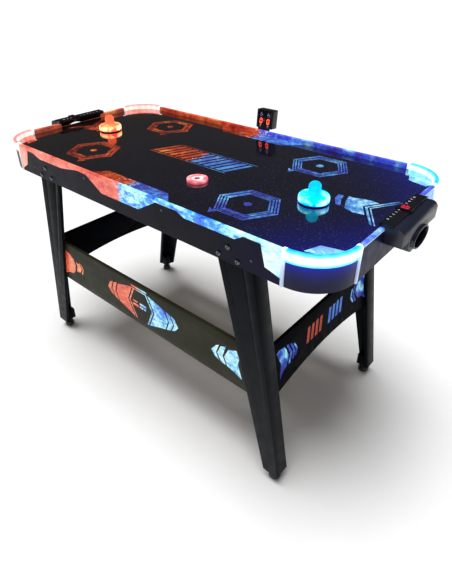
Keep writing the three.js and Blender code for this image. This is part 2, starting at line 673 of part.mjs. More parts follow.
function scorerCase() {
  const { width, depth, height, wall, back, round } = SCORER;
  const half = width / 2;
  const face = roundedRectangle(half, height / 2, round);
  const shell = prismAlongY(face, 0, depth, 2).translate(0, 0, height / 2);
  const hollow = block([wall - half, half - wall], [wall, depth - back], [wall, height - wall]);
  const { halfWidth, low, high, thickness } = SCORER_WINDOW;
  const pocket = block(
    [-halfWidth - GAP, halfWidth + GAP],
    [-THROUGH, thickness + GAP],
    [low - GAP, high + GAP],
  );
  const lens = block(
    [SCORER_LENS.side - halfWidth, halfWidth - SCORER_LENS.side],
    [0, wall + THROUGH],
    [low + SCORER_LENS.below, high - SCORER_LENS.above],
  );
  const bores = [-1, 1].map((side) => rodAlongY(
    SCORER_BUTTONS.radius + GAP,
    side * SCORER_BUTTONS.spread,
    SCORER_BUTTONS.height,
    [-THROUGH, wall + THROUGH],
    12,
  ));
  const slotReach = WIRE_SLOT.fromBack.map((step) => depth - step);
  const slotWidth = [-WIRE_SLOT.halfWidth, WIRE_SLOT.halfWidth];
  const wireSlot = block(slotWidth, slotReach, [-THROUGH, wall + THROUGH]);
  const body = cut(shell, hollow, pocket, lens, ...bores, wireSlot);
  body.rotateX(-SCORER_LEAN).translate(0, SCORER.y, SCORER.z);
  const neck = SCORER_NECK;
  const neckY = [HALF_WIDTH + GAP, HALF_WIDTH + GAP + neck.thickness];
  const armHeight = [neck.bottom, SCORER.z + neck.intoCase];
  const arm = block([-neck.halfWidth, neck.halfWidth], neckY, armHeight);
  return join(body, arm);
}

// A button's flange behind the front wall keeps it in its bore
function scorerButton() {
  const { radius, flange, stand, edge } = SCORER_BUTTONS;
  const [flangeStep, flangeThickness] = flange;
  const back = SCORER.wall + GAP;
  const button = turned([
    [0, -back - flangeThickness],
    [radius + flangeStep, -back - flangeThickness],
    [radius + flangeStep, -back],
    [radius, -back],
    [radius, stand - edge],
    [radius - edge, stand],
    [0, stand],
  ], 8);
  return button.rotateX(QUARTER_TURN);
}

const scorerWindow = block(
  [-SCORER_WINDOW.halfWidth, SCORER_WINDOW.halfWidth],
  [0, SCORER_WINDOW.thickness],
  [SCORER_WINDOW.low, SCORER_WINDOW.high],
);
add('scorer_case', scorerCase(), FINISH.plastic);
add('scorer_window', scorerWindow, FINISH.window, scorer);
for (const [side, sign] of [['left', -1], ['right', 1]]) {
  const button = add(`scorer_button_${side}`, scorerButton(), FINISH.silver, scorer);
  button.position.set(sign * SCORER_BUTTONS.spread, 0, SCORER_BUTTONS.height);
}

// ---------------------------------------------------------------- blower
const FAN_TOP = TRAY_BOTTOM - GAP;
const HUB_TOP = FAN_BOTTOM + HUB_HEIGHT;
const SHAFT_BOTTOM = FAN_BOTTOM + SHAFT.bottom;

// A square frame with a round duct, and four struts that carry the motor hub
function blowerHousing() {
  const frame = cut(
    prismAlongZ(roundedRectangle(FAN_HALF, FAN_HALF, 6), FAN_BOTTOM, FAN_TOP, 2),
    rodAlongZ(FAN_DUCT, 0, 0, [FAN_BOTTOM - THROUGH, FAN_TOP + THROUGH], 24),
  );
  const across = [-FAN_STRUT.halfWidth, FAN_STRUT.halfWidth];
  const along = [-FAN_DUCT - 1, FAN_DUCT + 1];
  const strutHeight = [FAN_BOTTOM, FAN_BOTTOM + FAN_STRUT.thickness];
  const motorHub = rodAlongZ(FAN_HUB, 0, 0, [FAN_BOTTOM, HUB_TOP], 16);
  const struts = [block(along, across, strutHeight), block(across, along, strutHeight)];
  const boreHeight = [SHAFT_BOTTOM - SHAFT.room, HUB_TOP + THROUGH];
  const bearing = rodAlongZ(SHAFT.radius + GAP, 0, 0, boreHeight, 8);
  return cut(join(frame, ...struts, motorHub), bearing);
}

function blowerImpeller() {
  const low = HUB_TOP + GAP;
  const hub = rodAlongZ(FAN_HUB - 1, 0, 0, [low, FAN_TOP - IMPELLER_CLEAR], 16);
  const shaft = rodAlongZ(SHAFT.radius, 0, 0, [SHAFT_BOTTOM, low + 1], 8);
  const { halfWidth, halfThickness, pitch, intoHub, tipGap } = FAN_BLADE;
  const reach = [FAN_HUB - 1 - intoHub, FAN_DUCT - tipGap];
  const blades = Array.from({ length: FAN_BLADES }, (_, i) => {
    const blade = block(reach, [-halfWidth, halfWidth], [-halfThickness, halfThickness]);
    blade.rotateX(THREE.MathUtils.degToRad(pitch));
    return blade.rotateZ((i / FAN_BLADES) * 2 * Math.PI).translate(0, 0, (low + FAN_TOP) / 2);
  });
  return join(hub, shaft, ...blades);
}

// Rings on a cross, held to the fan frame at the cross's ends
function blowerGrille() {
  const { wire, barHalf, tabHalf } = GRILLE;
  const wireTop = GRILLE_BOTTOM + wire;
  const rings = GRILLE.rings.map((radius) => turned([
    [radius, GRILLE_BOTTOM],
    [radius + wire, GRILLE_BOTTOM],
    [radius + wire, wireTop],
    [radius, wireTop],
    [radius, GRILLE_BOTTOM],
  ], 12));
  const reach = FAN_HALF - GRILLE.shorter;
  const bar = block([-reach, reach], [-barHalf, barHalf], [GRILLE_BOTTOM, wireTop]);
  const crossBar = bar.clone().rotateZ(QUARTER_TURN);
  const tabs = [0, 1, 2, 3].map((turn) => {
    const tab = block([FAN_DUCT - 1, FAN_HALF], [-tabHalf, tabHalf], [GRILLE_BOTTOM, FAN_BOTTOM - GAP]);
    return tab.rotateZ(turn * QUARTER_TURN);
  });
  return join(bar, crossBar, ...rings, ...tabs);
}

const controlBox = block(CONTROL_BOX.x, CONTROL_BOX.y, [CONTROL_BOX.bottom, FAN_TOP]);
add('blower_housing', blowerHousing(), FINISH.plastic);
add('blower_impeller', blowerImpeller(), FINISH.plastic);
add('blower_grille', blowerGrille(), FINISH.plastic);
add('control_box', controlBox, FINISH.plastic);

// ---------------------------------------------------------------- control panel
const PANEL_FACE = HALF_WIDTH + GAP + PANEL.thickness;

// A plate with a window for the rocker and a socket for the power lead's plug
function controlPanel() {
  const plate = block(PANEL.x, [HALF_WIDTH + GAP, PANEL_FACE], PANEL.z);
  const socketBottom = INNER_Y + INLET.fromInside;
  const socketBody = rodAlongY(INLET.body, INLET.x, INLET.z, [socketBottom, PANEL_FACE], 12);
  const socketReach = [socketBottom + INLET.floor, PANEL_FACE + THROUGH];
  const socket = rodAlongY(INLET.radius, INLET.x, INLET.z, socketReach, 10);
  const rockerWindow = block(
    [ROCKER.x - ROCKER.halfWidth - GAP, ROCKER.x + ROCKER.halfWidth + GAP],
    [HALF_WIDTH - THROUGH, PANEL_FACE + THROUGH],
    [ROCKER.z - ROCKER.halfHeight - 1, ROCKER.z + ROCKER.halfHeight + 1],
  );
  return cut(join(plate, socketBody), socket, rockerWindow);
}

// The rocker turns about X through its own origin; its face has two slopes
function powerRocker() {
  const { halfWidth, halfHeight, proud, dip, back } = ROCKER;
  const [backDepth, backHalf] = back;
  const shape = outline([
    [-backDepth, -backHalf],
    [0, -halfHeight],
    [proud, -halfHeight],
    [dip, 0],
    [proud, halfHeight],
    [0, halfHeight],
    [-backDepth, backHalf],
  ]);
  return prismAlongX(shape, -halfWidth, halfWidth);
}

add('control_panel', controlPanel(), FINISH.plastic);
const rocker = add('power_rocker', powerRocker(), FINISH.red);
rocker.position.set(ROCKER.x, PANEL_FACE - 1, ROCKER.z);
rocker.rotation.x = THREE.MathUtils.degToRad(ROCKER.tilt);

// ---------------------------------------------------------------- pushers and puck
const SEAM = BASE.top + GAP;

// A hollow dome with a knob, closed below by a felted base
function pusherShell() {
  const rim = [[PUSHER_RADIUS - PUSHER_WALL, SEAM], [PUSHER_RADIUS, SEAM]];
  return turned([...PUSHER_INSIDE, ...rim, ...PUSHER_OUTSIDE], 20);
}

function pusherBase() {
  return turned([[0, 0], [BASE.radius, 0], [BASE.radius, BASE.top], [0, BASE.top]], 20);
}

function pusherLamp() {
  return turned([[0, 0], ...LAMP], 12).translate(0, 0, SEAM);
}

for (const end of ['ice', 'fire']) {
  const pusher = new THREE.Group();
  pusher.position.set(...PUSHER_PLACES[end], FIELD_TOP + GAP);
  parts.add(pusher);
  add(`pusher_shell_${end}`, pusherShell(), end === 'ice' ? FINISH.icePusher : FINISH.firePusher, pusher);
  add(`pusher_base_${end}`, pusherBase(), FINISH.felt, pusher);
  add(`pusher_lamp_${end}`, pusherLamp(), FINISH.circuit, pusher);
}

const puck = new THREE.Group();
puck.position.set(...PUCK_PLACE, FIELD_TOP + GAP);
parts.add(puck);

function puckRing() {
  const inner = PUCK_CORE + GAP;
  return turned([
    [inner, 0],
    [PUCK_RADIUS - PUCK_EDGE, 0],
    [PUCK_RADIUS, PUCK_EDGE],
    [PUCK_RADIUS, PUCK_HEIGHT - PUCK_EDGE],
    [PUCK_RADIUS - PUCK_EDGE, PUCK_HEIGHT],
    [inner, PUCK_HEIGHT],
    [inner, 0],
  ], 24);
}

// The core stands a little back from the ring's faces
function puckCore() {
  const [low, high] = [PUCK_EDGE / 2, PUCK_HEIGHT - PUCK_EDGE];
  return turned([[0, low], [PUCK_CORE, low], [PUCK_CORE, high], [0, high]], 16);
}

add('puck_ring', puckRing(), FINISH.puck, puck);
add('puck_core', puckCore(), FINISH.silver, puck);

// ---------------------------------------------------------------- centring
// The scorer stands out behind and the bolt heads in front: the origin is midway between them
const box = new THREE.Box3().setFromObject(parts);
parts.position.y = -(box.min.y + box.max.y) / 2;

export default table;
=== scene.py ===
"""The looks of the air hockey table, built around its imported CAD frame. Metres, +Z up."""
import json
import math
from types import SimpleNamespace

import bmesh
import bpy
from mathutils import Matrix, Vector
from mathutils.geometry import delaunay_2d_cdt

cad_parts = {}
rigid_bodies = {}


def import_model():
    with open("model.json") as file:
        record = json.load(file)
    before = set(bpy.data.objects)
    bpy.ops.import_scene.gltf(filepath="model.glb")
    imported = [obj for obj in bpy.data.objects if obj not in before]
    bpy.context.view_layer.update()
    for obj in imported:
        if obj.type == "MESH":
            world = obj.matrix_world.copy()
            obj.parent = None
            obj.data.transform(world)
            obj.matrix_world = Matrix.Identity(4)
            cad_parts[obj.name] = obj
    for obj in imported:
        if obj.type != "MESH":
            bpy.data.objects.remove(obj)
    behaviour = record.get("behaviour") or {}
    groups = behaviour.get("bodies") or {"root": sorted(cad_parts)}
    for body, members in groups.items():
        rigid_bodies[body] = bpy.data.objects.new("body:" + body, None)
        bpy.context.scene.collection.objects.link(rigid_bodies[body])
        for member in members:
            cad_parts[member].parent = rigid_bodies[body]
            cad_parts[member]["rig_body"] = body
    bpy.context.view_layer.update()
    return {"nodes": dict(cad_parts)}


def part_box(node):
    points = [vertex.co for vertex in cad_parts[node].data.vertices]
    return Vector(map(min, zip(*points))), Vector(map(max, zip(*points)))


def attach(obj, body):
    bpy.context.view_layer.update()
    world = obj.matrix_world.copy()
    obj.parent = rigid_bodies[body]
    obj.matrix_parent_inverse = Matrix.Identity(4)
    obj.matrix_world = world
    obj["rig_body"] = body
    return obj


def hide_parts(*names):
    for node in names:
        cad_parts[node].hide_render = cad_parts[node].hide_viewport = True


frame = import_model()
MM = 0.001
FIRE, ICE = -1, 1
FRONT, BACK = -1, 1
ENDS = [(FIRE, "fire"), (ICE, "ice")]
SIDES = [(FRONT, "front"), (BACK, "back")]
QUARTERS = [(end, side, f"{lamp}_{edge}") for end, lamp in ENDS[::-1] for side, edge in SIDES[::-1]]


# ---------------------------------------------------------------- places read from the frame, in millimetres
def box_of(node):
    """A node's lowest and highest corners at rest."""
    return [SimpleNamespace(x=corner.x / MM, y=corner.y / MM, z=corner.z / MM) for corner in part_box(node)]


field_low, field_high = box_of("playfield")
MIDDLE_Y = (field_low.y + field_high.y) / 2
FIELD_Z = field_high.z
FIELD_THICKNESS = field_high.z - field_low.z
GAP = 0.3  # between neighbouring pieces
GROOVE = 4.7  # how far the field reaches into the boards
board_low, board_high = box_of("apron_front")
BOARD = board_high.y - board_low.y
BOARD_BOTTOM, RAIL_TOP = board_low.z, board_high.z
HALF_WIDTH = MIDDLE_Y - board_low.y
BOARD_END = board_high.x
end_board_high = box_of("apron_end_ice")[1]
HALF_LENGTH = end_board_high.x
END_BOARD_END = end_board_high.y - MIDDLE_Y
cover_high = box_of("corner_cover_ice_back")[1]
COVER_TOP = cover_high.z
POST = 8
CORNER_X = BOARD_END + POST + GAP
CORNER_Y = END_BOARD_END + POST + GAP
COVER_OUT = cover_high.x - CORNER_X
CORNER_R = HALF_LENGTH - CORNER_X
INNER_X, INNER_Y = HALF_LENGTH - BOARD, HALF_WIDTH - BOARD
GOAL_HALF = 100


def at(x, y, z):
    """A point from millimetres along the table, across it from its middle line, and up from the floor."""
    return Vector((x * MM, (MIDDLE_Y + y) * MM, z * MM))


# ---------------------------------------------------------------- camera
def make_camera():
    """The photograph's viewpoint, found from the table's edges."""
    yaw, pitch, roll = 0.72805, 0.55675, -0.0123
    ahead = Vector((-math.sin(yaw) * math.cos(pitch), math.cos(yaw) * math.cos(pitch), -math.sin(pitch)))
    level_right = ahead.cross(Vector((0, 0, 1))).normalized()
    level_up = level_right.cross(ahead)
    right = level_right * math.cos(roll) + level_up * math.sin(roll)
    up = level_up * math.cos(roll) - level_right * math.sin(roll)
    data = bpy.data.cameras.new("camera")
    data.sensor_width = 36
    data.lens = 28.43
    data.shift_x = 0.0138
    data.shift_y = -0.0579
    camera = bpy.data.objects.new("camera", data)
    turn = Matrix((right, up, -ahead)).transposed().to_4x4()
    camera.matrix_world = Matrix.Translation(at(1024.3, -1071.3, 1356.8)) @ turn
    bpy.context.collection.objects.link(camera)
    bpy.context.scene.camera = camera


make_camera()


# ---------------------------------------------------------------- material nodes
class Nodes:
    """A material's node tree, written as short calls. Numbers stay on sockets, links carry what varies."""

    SOCKETS = {
        "colour": "Base Color", "roughness": "Roughness", "metal": "Metallic", "normal": "Normal",
        "glow": "Emission Color", "power": "Emission Strength", "coat": "Coat Weight",
        "coat_roughness": "Coat Roughness", "specular": "Specular IOR Level", "inside": "Subsurface Weight",
    }

    def __init__(self, name):
        self.material = bpy.data.materials.new(name)
        self.material.use_nodes = True
        self.tree = self.material.node_tree
        self.place = self.tree.nodes.new("ShaderNodeTexCoord").outputs["Object"]

    def put(self, socket, value):
        if isinstance(value, bpy.types.NodeSocket):
            self.tree.links.new(value, socket)
        elif isinstance(value, tuple) and socket.type == "RGBA":
            socket.default_value = (*value, 1)
        else:
            socket.default_value = value

    def node(self, kind, inputs, output=0, **settings):
        made = self.tree.nodes.new(kind)
        for key, value in settings.items():
            setattr(made, key, value)
        for key, value in inputs.items():
            self.put(made.inputs[key], value)
        return made.outputs[output]

    def math(self, operation, *values, clamp=False):
        return self.node("ShaderNodeMath", dict(enumerate(values)), operation=operation, use_clamp=clamp)

    def times(self, a, b):
        return self.math("MULTIPLY", a, b)

    def stretched(self, x=1, y=1, z=1):
        return self.node("ShaderNodeMapping", {"Vector": self.place, "Scale": (x, y, z)})

    def axis(self, name):
        return self.node("ShaderNodeSeparateXYZ", {0: self.place}, output=name)

    def noise(self, scale, detail=4, roughness=0.55, vector=None, distortion=0.0):
        inputs = {"Vector": vector or self.place, "Scale": scale, "Detail": detail}
        return self.node("ShaderNodeTexNoise", {**inputs, "Roughness": roughness, "Distortion": distortion})

    def cells(self, scale, feature="F1"):
        return self.node("ShaderNodeTexVoronoi", {"Vector": self.place, "Scale": scale}, feature=feature)

    def span(self, value, low, high, to_low=0.0, to_high=1.0):
        inputs = {"Value": value, "From Min": low, "From Max": high, "To Min": to_low, "To Max": to_high}
        return self.node("ShaderNodeMapRange", inputs)

    def patches(self, scale, detail, to_low=0.0, to_high=1.0, low=0.3, high=0.7):
        """Noise between low and high, spread over to_low to to_high."""
        return self.span(self.noise(scale, detail), low, high, to_low, to_high)

    def ramp(self, value, stops):
        """Stops are (position, red, green, blue)."""
        made = self.tree.nodes.new("ShaderNodeValToRGB")
        elements = made.color_ramp.elements
        while len(elements) < len(stops):
            elements.new(0.5)
        for element, (position, *colour) in zip(elements, stops):
            element.position = position
            element.color = (*colour, 1)
        self.put(made.inputs[0], value)
        return made.outputs[0]

    def mix(self, share, a, b):
        return self.node("ShaderNodeMix", {0: share, 6: a, 7: b}, output=2, data_type="RGBA")

    def bump(self, height, strength, distance):
        return self.node("ShaderNodeBump", {"Height": height, "Strength": strength, "Distance": distance})

    def grain(self, scale, detail, strength, distance):
        return self.bump(self.noise(scale, detail), strength, distance)

    def finish(self, **sockets):
        shader = self.tree.nodes["Principled BSDF"]
        for key, value in sockets.items():
            self.put(shader.inputs[self.SOCKETS[key]], value)
        return self.material


def brighter(colour, times, more=0.0):
    return tuple(c * times + more for c in colour)


def laminate(name, colour, roughness, painted_ice_light=None, shine=0.07):
    """Printed board: fine orange peel, faint handling marks; towards the ice end it can take a painted light
    of a given colour from the lamps there.
    """
    n = Nodes(name)
    mottled = n.mix(n.patches(9, 5, low=0.35, high=0.75), colour, brighter(colour, 1.5, 0.0008))
    # Painted blue light from the ice end's lamps, mixed in towards that end
    if painted_ice_light:
        mottled = n.mix(n.span(n.axis("X"), 0.35, 0.72), mottled, painted_ice_light)
    return n.finish(
        colour=mottled, roughness=n.patches(35, 6, roughness - 0.07, roughness + 0.1), specular=shine,
        normal=n.grain(900, 2, 0.12, 0.0003),
    )


def tinted_board(name, colour, tint, power):
    """Black board with a painted glow of coloured light from the cover over it, brightest near its top."""
    n = Nodes(name)
    # Painted light from the lit cover: the glow grows towards the top of the board
    painted_spill = n.math("POWER", n.span(n.axis("Z"), BOARD_BOTTOM * MM - 0.03, FIELD_Z * MM), 5.0)
    return n.finish(
        colour=n.mix(n.patches(9, 5, low=0.35, high=0.75), colour, brighter(colour, 1.5, 0.003)),
        glow=tint, power=n.times(painted_spill, n.patches(9, 5, power * 0.8, power * 1.1, 0.2, 0.8)),
        roughness=n.patches(35, 6, 0.28, 0.42), specular=0.16, normal=n.grain(900, 2, 0.12, 0.0003),
    )


def moulded(name, colour, roughness=0.42, grain=1400, depth=0.22):
    """Moulded plastic with a fine spark-eroded grain."""
    n = Nodes(name)
    return n.finish(
        colour=n.mix(n.patches(14, 4, high=0.8), colour, brighter(colour, 1.35, 0.002)),
        roughness=n.patches(60, 5, roughness - 0.06, roughness + 0.1, 0.25, 0.75),
        normal=n.grain(grain, 3, depth, 0.0002),
    )


# Colours from dark to light: position, red, green, blue
FIRE_RAIL = [(0, 0.16, 0.01, 0.012), (0.35, 0.5, 0.045, 0.02), (0.6, 0.78, 0.1, 0.035),
             (0.85, 0.95, 0.24, 0.07), (1, 1, 0.55, 0.2)]
ICE_RAIL = [(0, 0.03, 0.015, 0.22), (0.35, 0.07, 0.05, 0.55), (0.55, 0.06, 0.12, 0.85),
            (0.8, 0.2, 0.45, 0.95), (1, 0.55, 0.8, 1)]
FIRE_FACE = [(0, 0.5, 0.05, 0.03), (0.3, 0.8, 0.12, 0.08), (0.65, 0.95, 0.24, 0.18), (1, 1, 0.55, 0.45)]
ICE_FACE = [(0, 0.02, 0.04, 0.5), (0.26, 0.03, 0.14, 0.85), (0.44, 0.08, 0.42, 1), (0.6, 0.35, 0.85, 1),
            (0.9, 0.85, 1, 1)]
FIRE_BOARD = [(0, 0.6, 0.035, 0.015), (0.35, 0.9, 0.12, 0.045), (0.7, 1, 0.25, 0.08), (1, 1, 0.6, 0.2)]
FIRE_PRINT = [(0, 0.04, 0.004, 0.004), (0.4, 0.22, 0.022, 0.012), (0.7, 0.5, 0.07, 0.02),
              (1, 0.9, 0.38, 0.06)]
ICE_PRINT = [(0, 0.03, 0.015, 0.14), (0.4, 0.05, 0.08, 0.42), (0.7, 0.08, 0.28, 0.62), (1, 0.4, 0.75, 0.95)]
ICE_STROKES = [(0, 0.02, 0.02, 0.3), (0.4, 0.03, 0.08, 0.6), (0.7, 0.1, 0.38, 0.85), (1, 0.5, 0.95, 1)]
ICE_COVER = [(0, 0, 0.02, 0.5), (0.3, 0, 0.13, 0.6), (0.6, 0.05, 0.42, 0.65), (0.85, 0.28, 0.8, 0.9),
             (1, 0.38, 0.92, 1)]
FIRE_COVER = [(0, 0.5, 0.03, 0.025), (0.3, 0.65, 0.1, 0.085), (0.6, 0.8, 0.22, 0.2),
              (0.85, 0.95, 0.36, 0.33), (1, 1, 0.43, 0.39)]


def printed_art(name, fire, ice, glow, scale, low=0.36, high=0.64, gloss=0.22, painted_end_light=0.0):
    """Cloudy print, from fire colours to ice colours along the table, with sparks where they meet. The print
    has a faint painted glow, and towards the table's ends a painted pale light from the lit corners.
    """
    n = Nodes(name)
    small = n.noise(scale, 7, 0.68, vector=n.stretched(z=1.6), distortion=0.5)
    shade = n.span(n.math("ADD", n.noise(7, 3, 0.5, distortion=0.6), small), low * 2, high * 2)
    side = n.span(n.math("MULTIPLY_ADD", small, 0.03, n.axis("X")), 0.001, 0.019)
    colour = n.mix(side, n.ramp(shade, fire), n.ramp(shade, ice))
    from_middle = n.math("ABSOLUTE", n.axis("X"))
    sparks = n.span(n.noise(90, 4, vector=n.stretched(0.35), distortion=1.5), 0.6, 0.68)
    sparks = n.times(sparks, n.span(from_middle, 0.09, 0.0))
    specks = n.span(n.cells(260), 0.10, 0.04, 0.0, 0.4)
    colour = n.mix(n.math("MAXIMUM", sparks, specks), colour, (1.0, 0.93, 0.9))
    # Painted pale light from the lit corners: warm at the fire end, blue at the ice end
    ends = n.times(n.span(from_middle, 0.5, 0.62), n.span(side, 0, 1, painted_end_light, painted_end_light * 0.6))
    colour = n.mix(ends, colour, n.mix(side, (1.0, 0.76, 0.58), (0.35, 0.6, 0.95)))
    # The print glows although it is no lamp: painted light
    return n.finish(
        colour=colour, glow=colour, power=glow, roughness=n.span(small, 0.3, 0.7, gloss - 0.06, gloss + 0.06),
        normal=n.grain(700, 2, 0.08, 0.0002),
    )


def one_sided_art(name, stops, glow, contrast=0.14):
    """Cloudy print in one end's colours, with a faint painted glow."""
    n = Nodes(name)
    shade = n.span(n.noise(28, 7, 0.6, distortion=0.4), 0.5 - contrast, 0.5 + contrast)
    colour = n.ramp(shade, stops)
    rough = n.span(shade, 0, 1, 0.3, 0.45)
    # The print glows although it is no lamp: painted light
    return n.finish(colour=colour, glow=colour, power=glow, roughness=rough, specular=0.1)


def star_field(name):
    """The field's glossy black film with fine specks, bluer towards the ice corners, where a faint painted
    glow stands for the blue light spilling from them.
    """
    n = Nodes(name)
    along = n.span(n.axis("X"), -0.5, 0.55)
    base = n.mix(along, (0.006, 0.005, 0.005), (0.005, 0.005, 0.014))
    cloud = n.mix(along, (0.011, 0.008, 0.008), (0.008, 0.008, 0.024))
    specks = n.times(n.span(n.cells(240), 0.22, 0.10), n.patches(150, 2, low=0.48, high=0.56))
    colour = n.mix(n.patches(5, 4, 0, 0.7, 0.4, 0.8), base, cloud)
    colour = n.mix(specks, colour, n.mix(along, (0.22, 0.10, 0.08), (0.12, 0.18, 0.55)))
    across = n.math("ABSOLUTE", n.math("SUBTRACT", n.axis("Y"), MIDDLE_Y * MM))
    # Painted blue light spilling onto the field near the lit ice corners
    corner = n.math("MULTIPLY_ADD", across, 0.75, n.axis("X"))
    painted_spill = n.math("POWER", n.span(corner, 0.35, 0.80), 3.5)
    return n.finish(
        colour=colour, roughness=n.patches(22, 6, 0.05, 0.12), normal=n.grain(260, 3, 0.03, 0.0003),
        glow=(0.01, 0.02, 1.0), power=n.times(painted_spill, n.patches(14, 4, 0.091, 0.156, 0.2, 0.8)),
        specular=0.9, coat=0.7, coat_roughness=0.04,
    )


def lit_cover(name, stops, power, contrast):
    """Frosted cover lit from inside: brightest over each lamp and along the middle of its height."""
    n = Nodes(name)
    lamps = n.node("ShaderNodeAttribute", {}, output="Fac", attribute_name="lamp")
    height = n.span(n.axis("Z"), 0.817, 0.853)
    belly = n.span(n.times(height, n.math("SUBTRACT", 1.0, height)), -0.02, 0.2)
    near_lamp = n.math("MULTIPLY_ADD", lamps, contrast, n.patches(28, 2, 0, 0.3, 0, 1))
    level = n.math("MULTIPLY", belly, n.math("ADD", near_lamp, 0.7 - contrast * 0.7), clamp=True)
    colour = n.ramp(level, stops)
    return n.finish(
        colour=n.mix(0.75, colour, (0, 0, 0)), glow=colour, power=n.span(level, 0, 1, power * 0.7, power),
        roughness=n.patches(300, 3, 0.22, 0.36), normal=n.grain(800, 2, 0.1, 0.0002),
    )


def lit_post(name, low_colour, high_colour, power):
    """A cover's end post, which is lit at its head."""
    n = Nodes(name)
    bright = n.math("POWER", n.span(n.axis("Z"), 0.75, 0.85), 3.0)
    colour = n.mix(n.span(n.axis("Z"), 0.80, 0.848), low_colour, high_colour)
    return n.finish(
        colour=n.mix(n.patches(90, 4, 0, 0.3), colour, (0.9, 0.95, 1.0)), glow=colour,
        power=n.span(bright, 0, 1, power * 0.12, power), roughness=n.patches(300, 3, 0.25, 0.4),
    )


def lit_pusher(name, deep, body, hot, edge, power):
    """Translucent shell lit from below: hot patches on the skirt, deeper colour up the knob."""
    n = Nodes(name)
    foot = FIELD_Z * MM
    up = n.span(n.axis("Z"), foot + 0.004, foot + 0.058)
    low_glow = n.times(n.patches(32, 2, low=0.38, high=0.62), n.span(up, 0.5, 0.1, 0.0, 0.75))
    level = n.math("ADD", low_glow, n.span(up, 0, 1, 0.42, 0.2), clamp=True)
    level = n.math("ADD", level, n.patches(50, 4, -0.15, 0.15, 0, 1), clamp=True)
    colour = n.ramp(level, [(0, *deep), (0.42, *body), (0.95, *hot)])
    colour = n.mix(n.span(n.axis("Z"), foot + 0.014, foot + 0.005, 0, 0.75), colour, edge)
    return n.finish(
        colour=n.mix(0.7, colour, (0, 0, 0)), glow=colour, power=n.span(level, 0, 1, power * 0.6, power),
        roughness=n.patches(400, 2, 0.14, 0.24), normal=n.grain(500, 2, 0.05, 0.0002),
    )


def lit_puck(name, rim, body, hot, power):
    """Translucent puck plastic with bright cells."""
    n = Nodes(name)
    cells = n.span(n.cells(45, feature="SMOOTH_F1"), 0.6, 0.15, 0, 0.6)
    level = n.math("ADD", cells, n.patches(90, 4, 0, 0.5, 0, 1), clamp=True)
    colour = n.ramp(level, [(0.1, *rim), (0.5, *body), (0.95, *hot)])
    glow, rough = n.span(level, 0, 1, power * 0.5, power), n.span(level, 0, 1, 0.18, 0.3)
    return n.finish(colour=colour, glow=colour, power=glow, roughness=rough, inside=0.15)


def glowing(name, colour, edge, power):
    """Lit print or lamps with a slight mottling."""
    n = Nodes(name)
    level = n.patches(200, 3)
    mixed = n.mix(level, edge, colour)
    glow, rough = n.span(level, 0, 1, power * 0.8, power), n.span(level, 0, 1, 0.3, 0.4)
    return n.finish(colour=mixed, glow=mixed, power=glow, roughness=rough)


def lamp_strip(name, lamp_colour):
    """Green circuit board with lamps standing on it."""
    n = Nodes(name)
    lamp = n.span(n.axis("Z"), (FIELD_Z + 2.3) * MM, (FIELD_Z + 2.5) * MM)
    traces = n.span(n.noise(500, 2, vector=n.stretched(z=0.1)), 0.5, 0.53)
    colour = n.mix(lamp, n.mix(traces, (0.02, 0.16, 0.06), (0.05, 0.28, 0.12)), (0.9, 0.9, 0.8))
    rough = n.span(traces, 0, 1, 0.3, 0.45)
    return n.finish(colour=colour, glow=lamp_colour, power=n.times(lamp, 6.0), roughness=rough)


def metal(name, colour, roughness):
    """Plated metal, faintly brushed."""
    n = Nodes(name)
    brushed = n.noise(600, 3, vector=n.stretched(z=14))
    return n.finish(
        colour=n.mix(n.span(brushed, 0.3, 0.7), colour, brighter(colour, 0.75)), metal=1.0,
        roughness=n.span(brushed, 0.3, 0.7, roughness - 0.08, roughness + 0.12),
        normal=n.bump(brushed, 0.1, 0.0001),
    )


def fibre(name, colour):
    """Raw fibreboard: short pressed fibres and a little mottling."""
    n = Nodes(name)
    fibres = n.noise(260, 5, 0.7, vector=n.stretched(y=3))
    return n.finish(
        colour=n.mix(n.span(fibres, 0.3, 0.7), colour, brighter(colour, 0.6)),
        roughness=n.span(fibres, 0.3, 0.7, 0.75, 0.9), normal=n.bump(fibres, 0.3, 0.0004),
    )


BLACK_BOARD = laminate("board_black", (0.006, 0.006, 0.012), 0.36, painted_ice_light=(0.010, 0.008, 0.045))
LEG_BLACK = laminate("leg_black", (0.0025, 0.004, 0.0065), 0.42)
END_BLACK = laminate("end_board_black", (0.0015, 0.002, 0.004), 0.5, shine=0.015)
OLIVE = laminate("stretcher_olive", (0.026, 0.026, 0.015), 0.4)
RAIL_ART = printed_art("rail_art", FIRE_RAIL, ICE_RAIL, 0.32, 20, low=0.38, high=0.63, painted_end_light=0.08)
FRONT_RAIL_ART = printed_art("front_rail_art", FIRE_FACE, ICE_FACE, 0.2, 30, painted_end_light=0.5)
FACE_ART = printed_art("face_art", FIRE_FACE, ICE_FACE, 0.3, 46, painted_end_light=0.75)
FIELD_ART = printed_art("field_art", FIRE_PRINT, ICE_PRINT, 0.12, 60, gloss=0.14)
EMBLEM_ART = printed_art("emblem_art", FIRE_PRINT, ICE_PRINT, 0.12, 16, low=0.3, high=0.7, gloss=0.14)
BOARD_ART = printed_art("board_art", FIRE_BOARD, ICE_FACE, 0.18, 50)
ICE_STRETCHER_ART = one_sided_art("ice_board_art", ICE_STROKES, 0.2)
ICE_STROKE_ART = one_sided_art("ice_stroke_art", ICE_STROKES, 0.25, 0.9)
FIRE_STROKE_ART = one_sided_art("fire_stroke_art", FIRE_PRINT, 0.5, 0.9)
FIELD_FILM = star_field("field_film")
ZINC = metal("zinc", (0.13, 0.14, 0.16), 0.24)
BLACK_PLASTIC = moulded("black_plastic", (0.010, 0.011, 0.015))
FOOT_RUBBER = moulded("foot_rubber", (0.012, 0.016, 0.022), 0.4, grain=700)
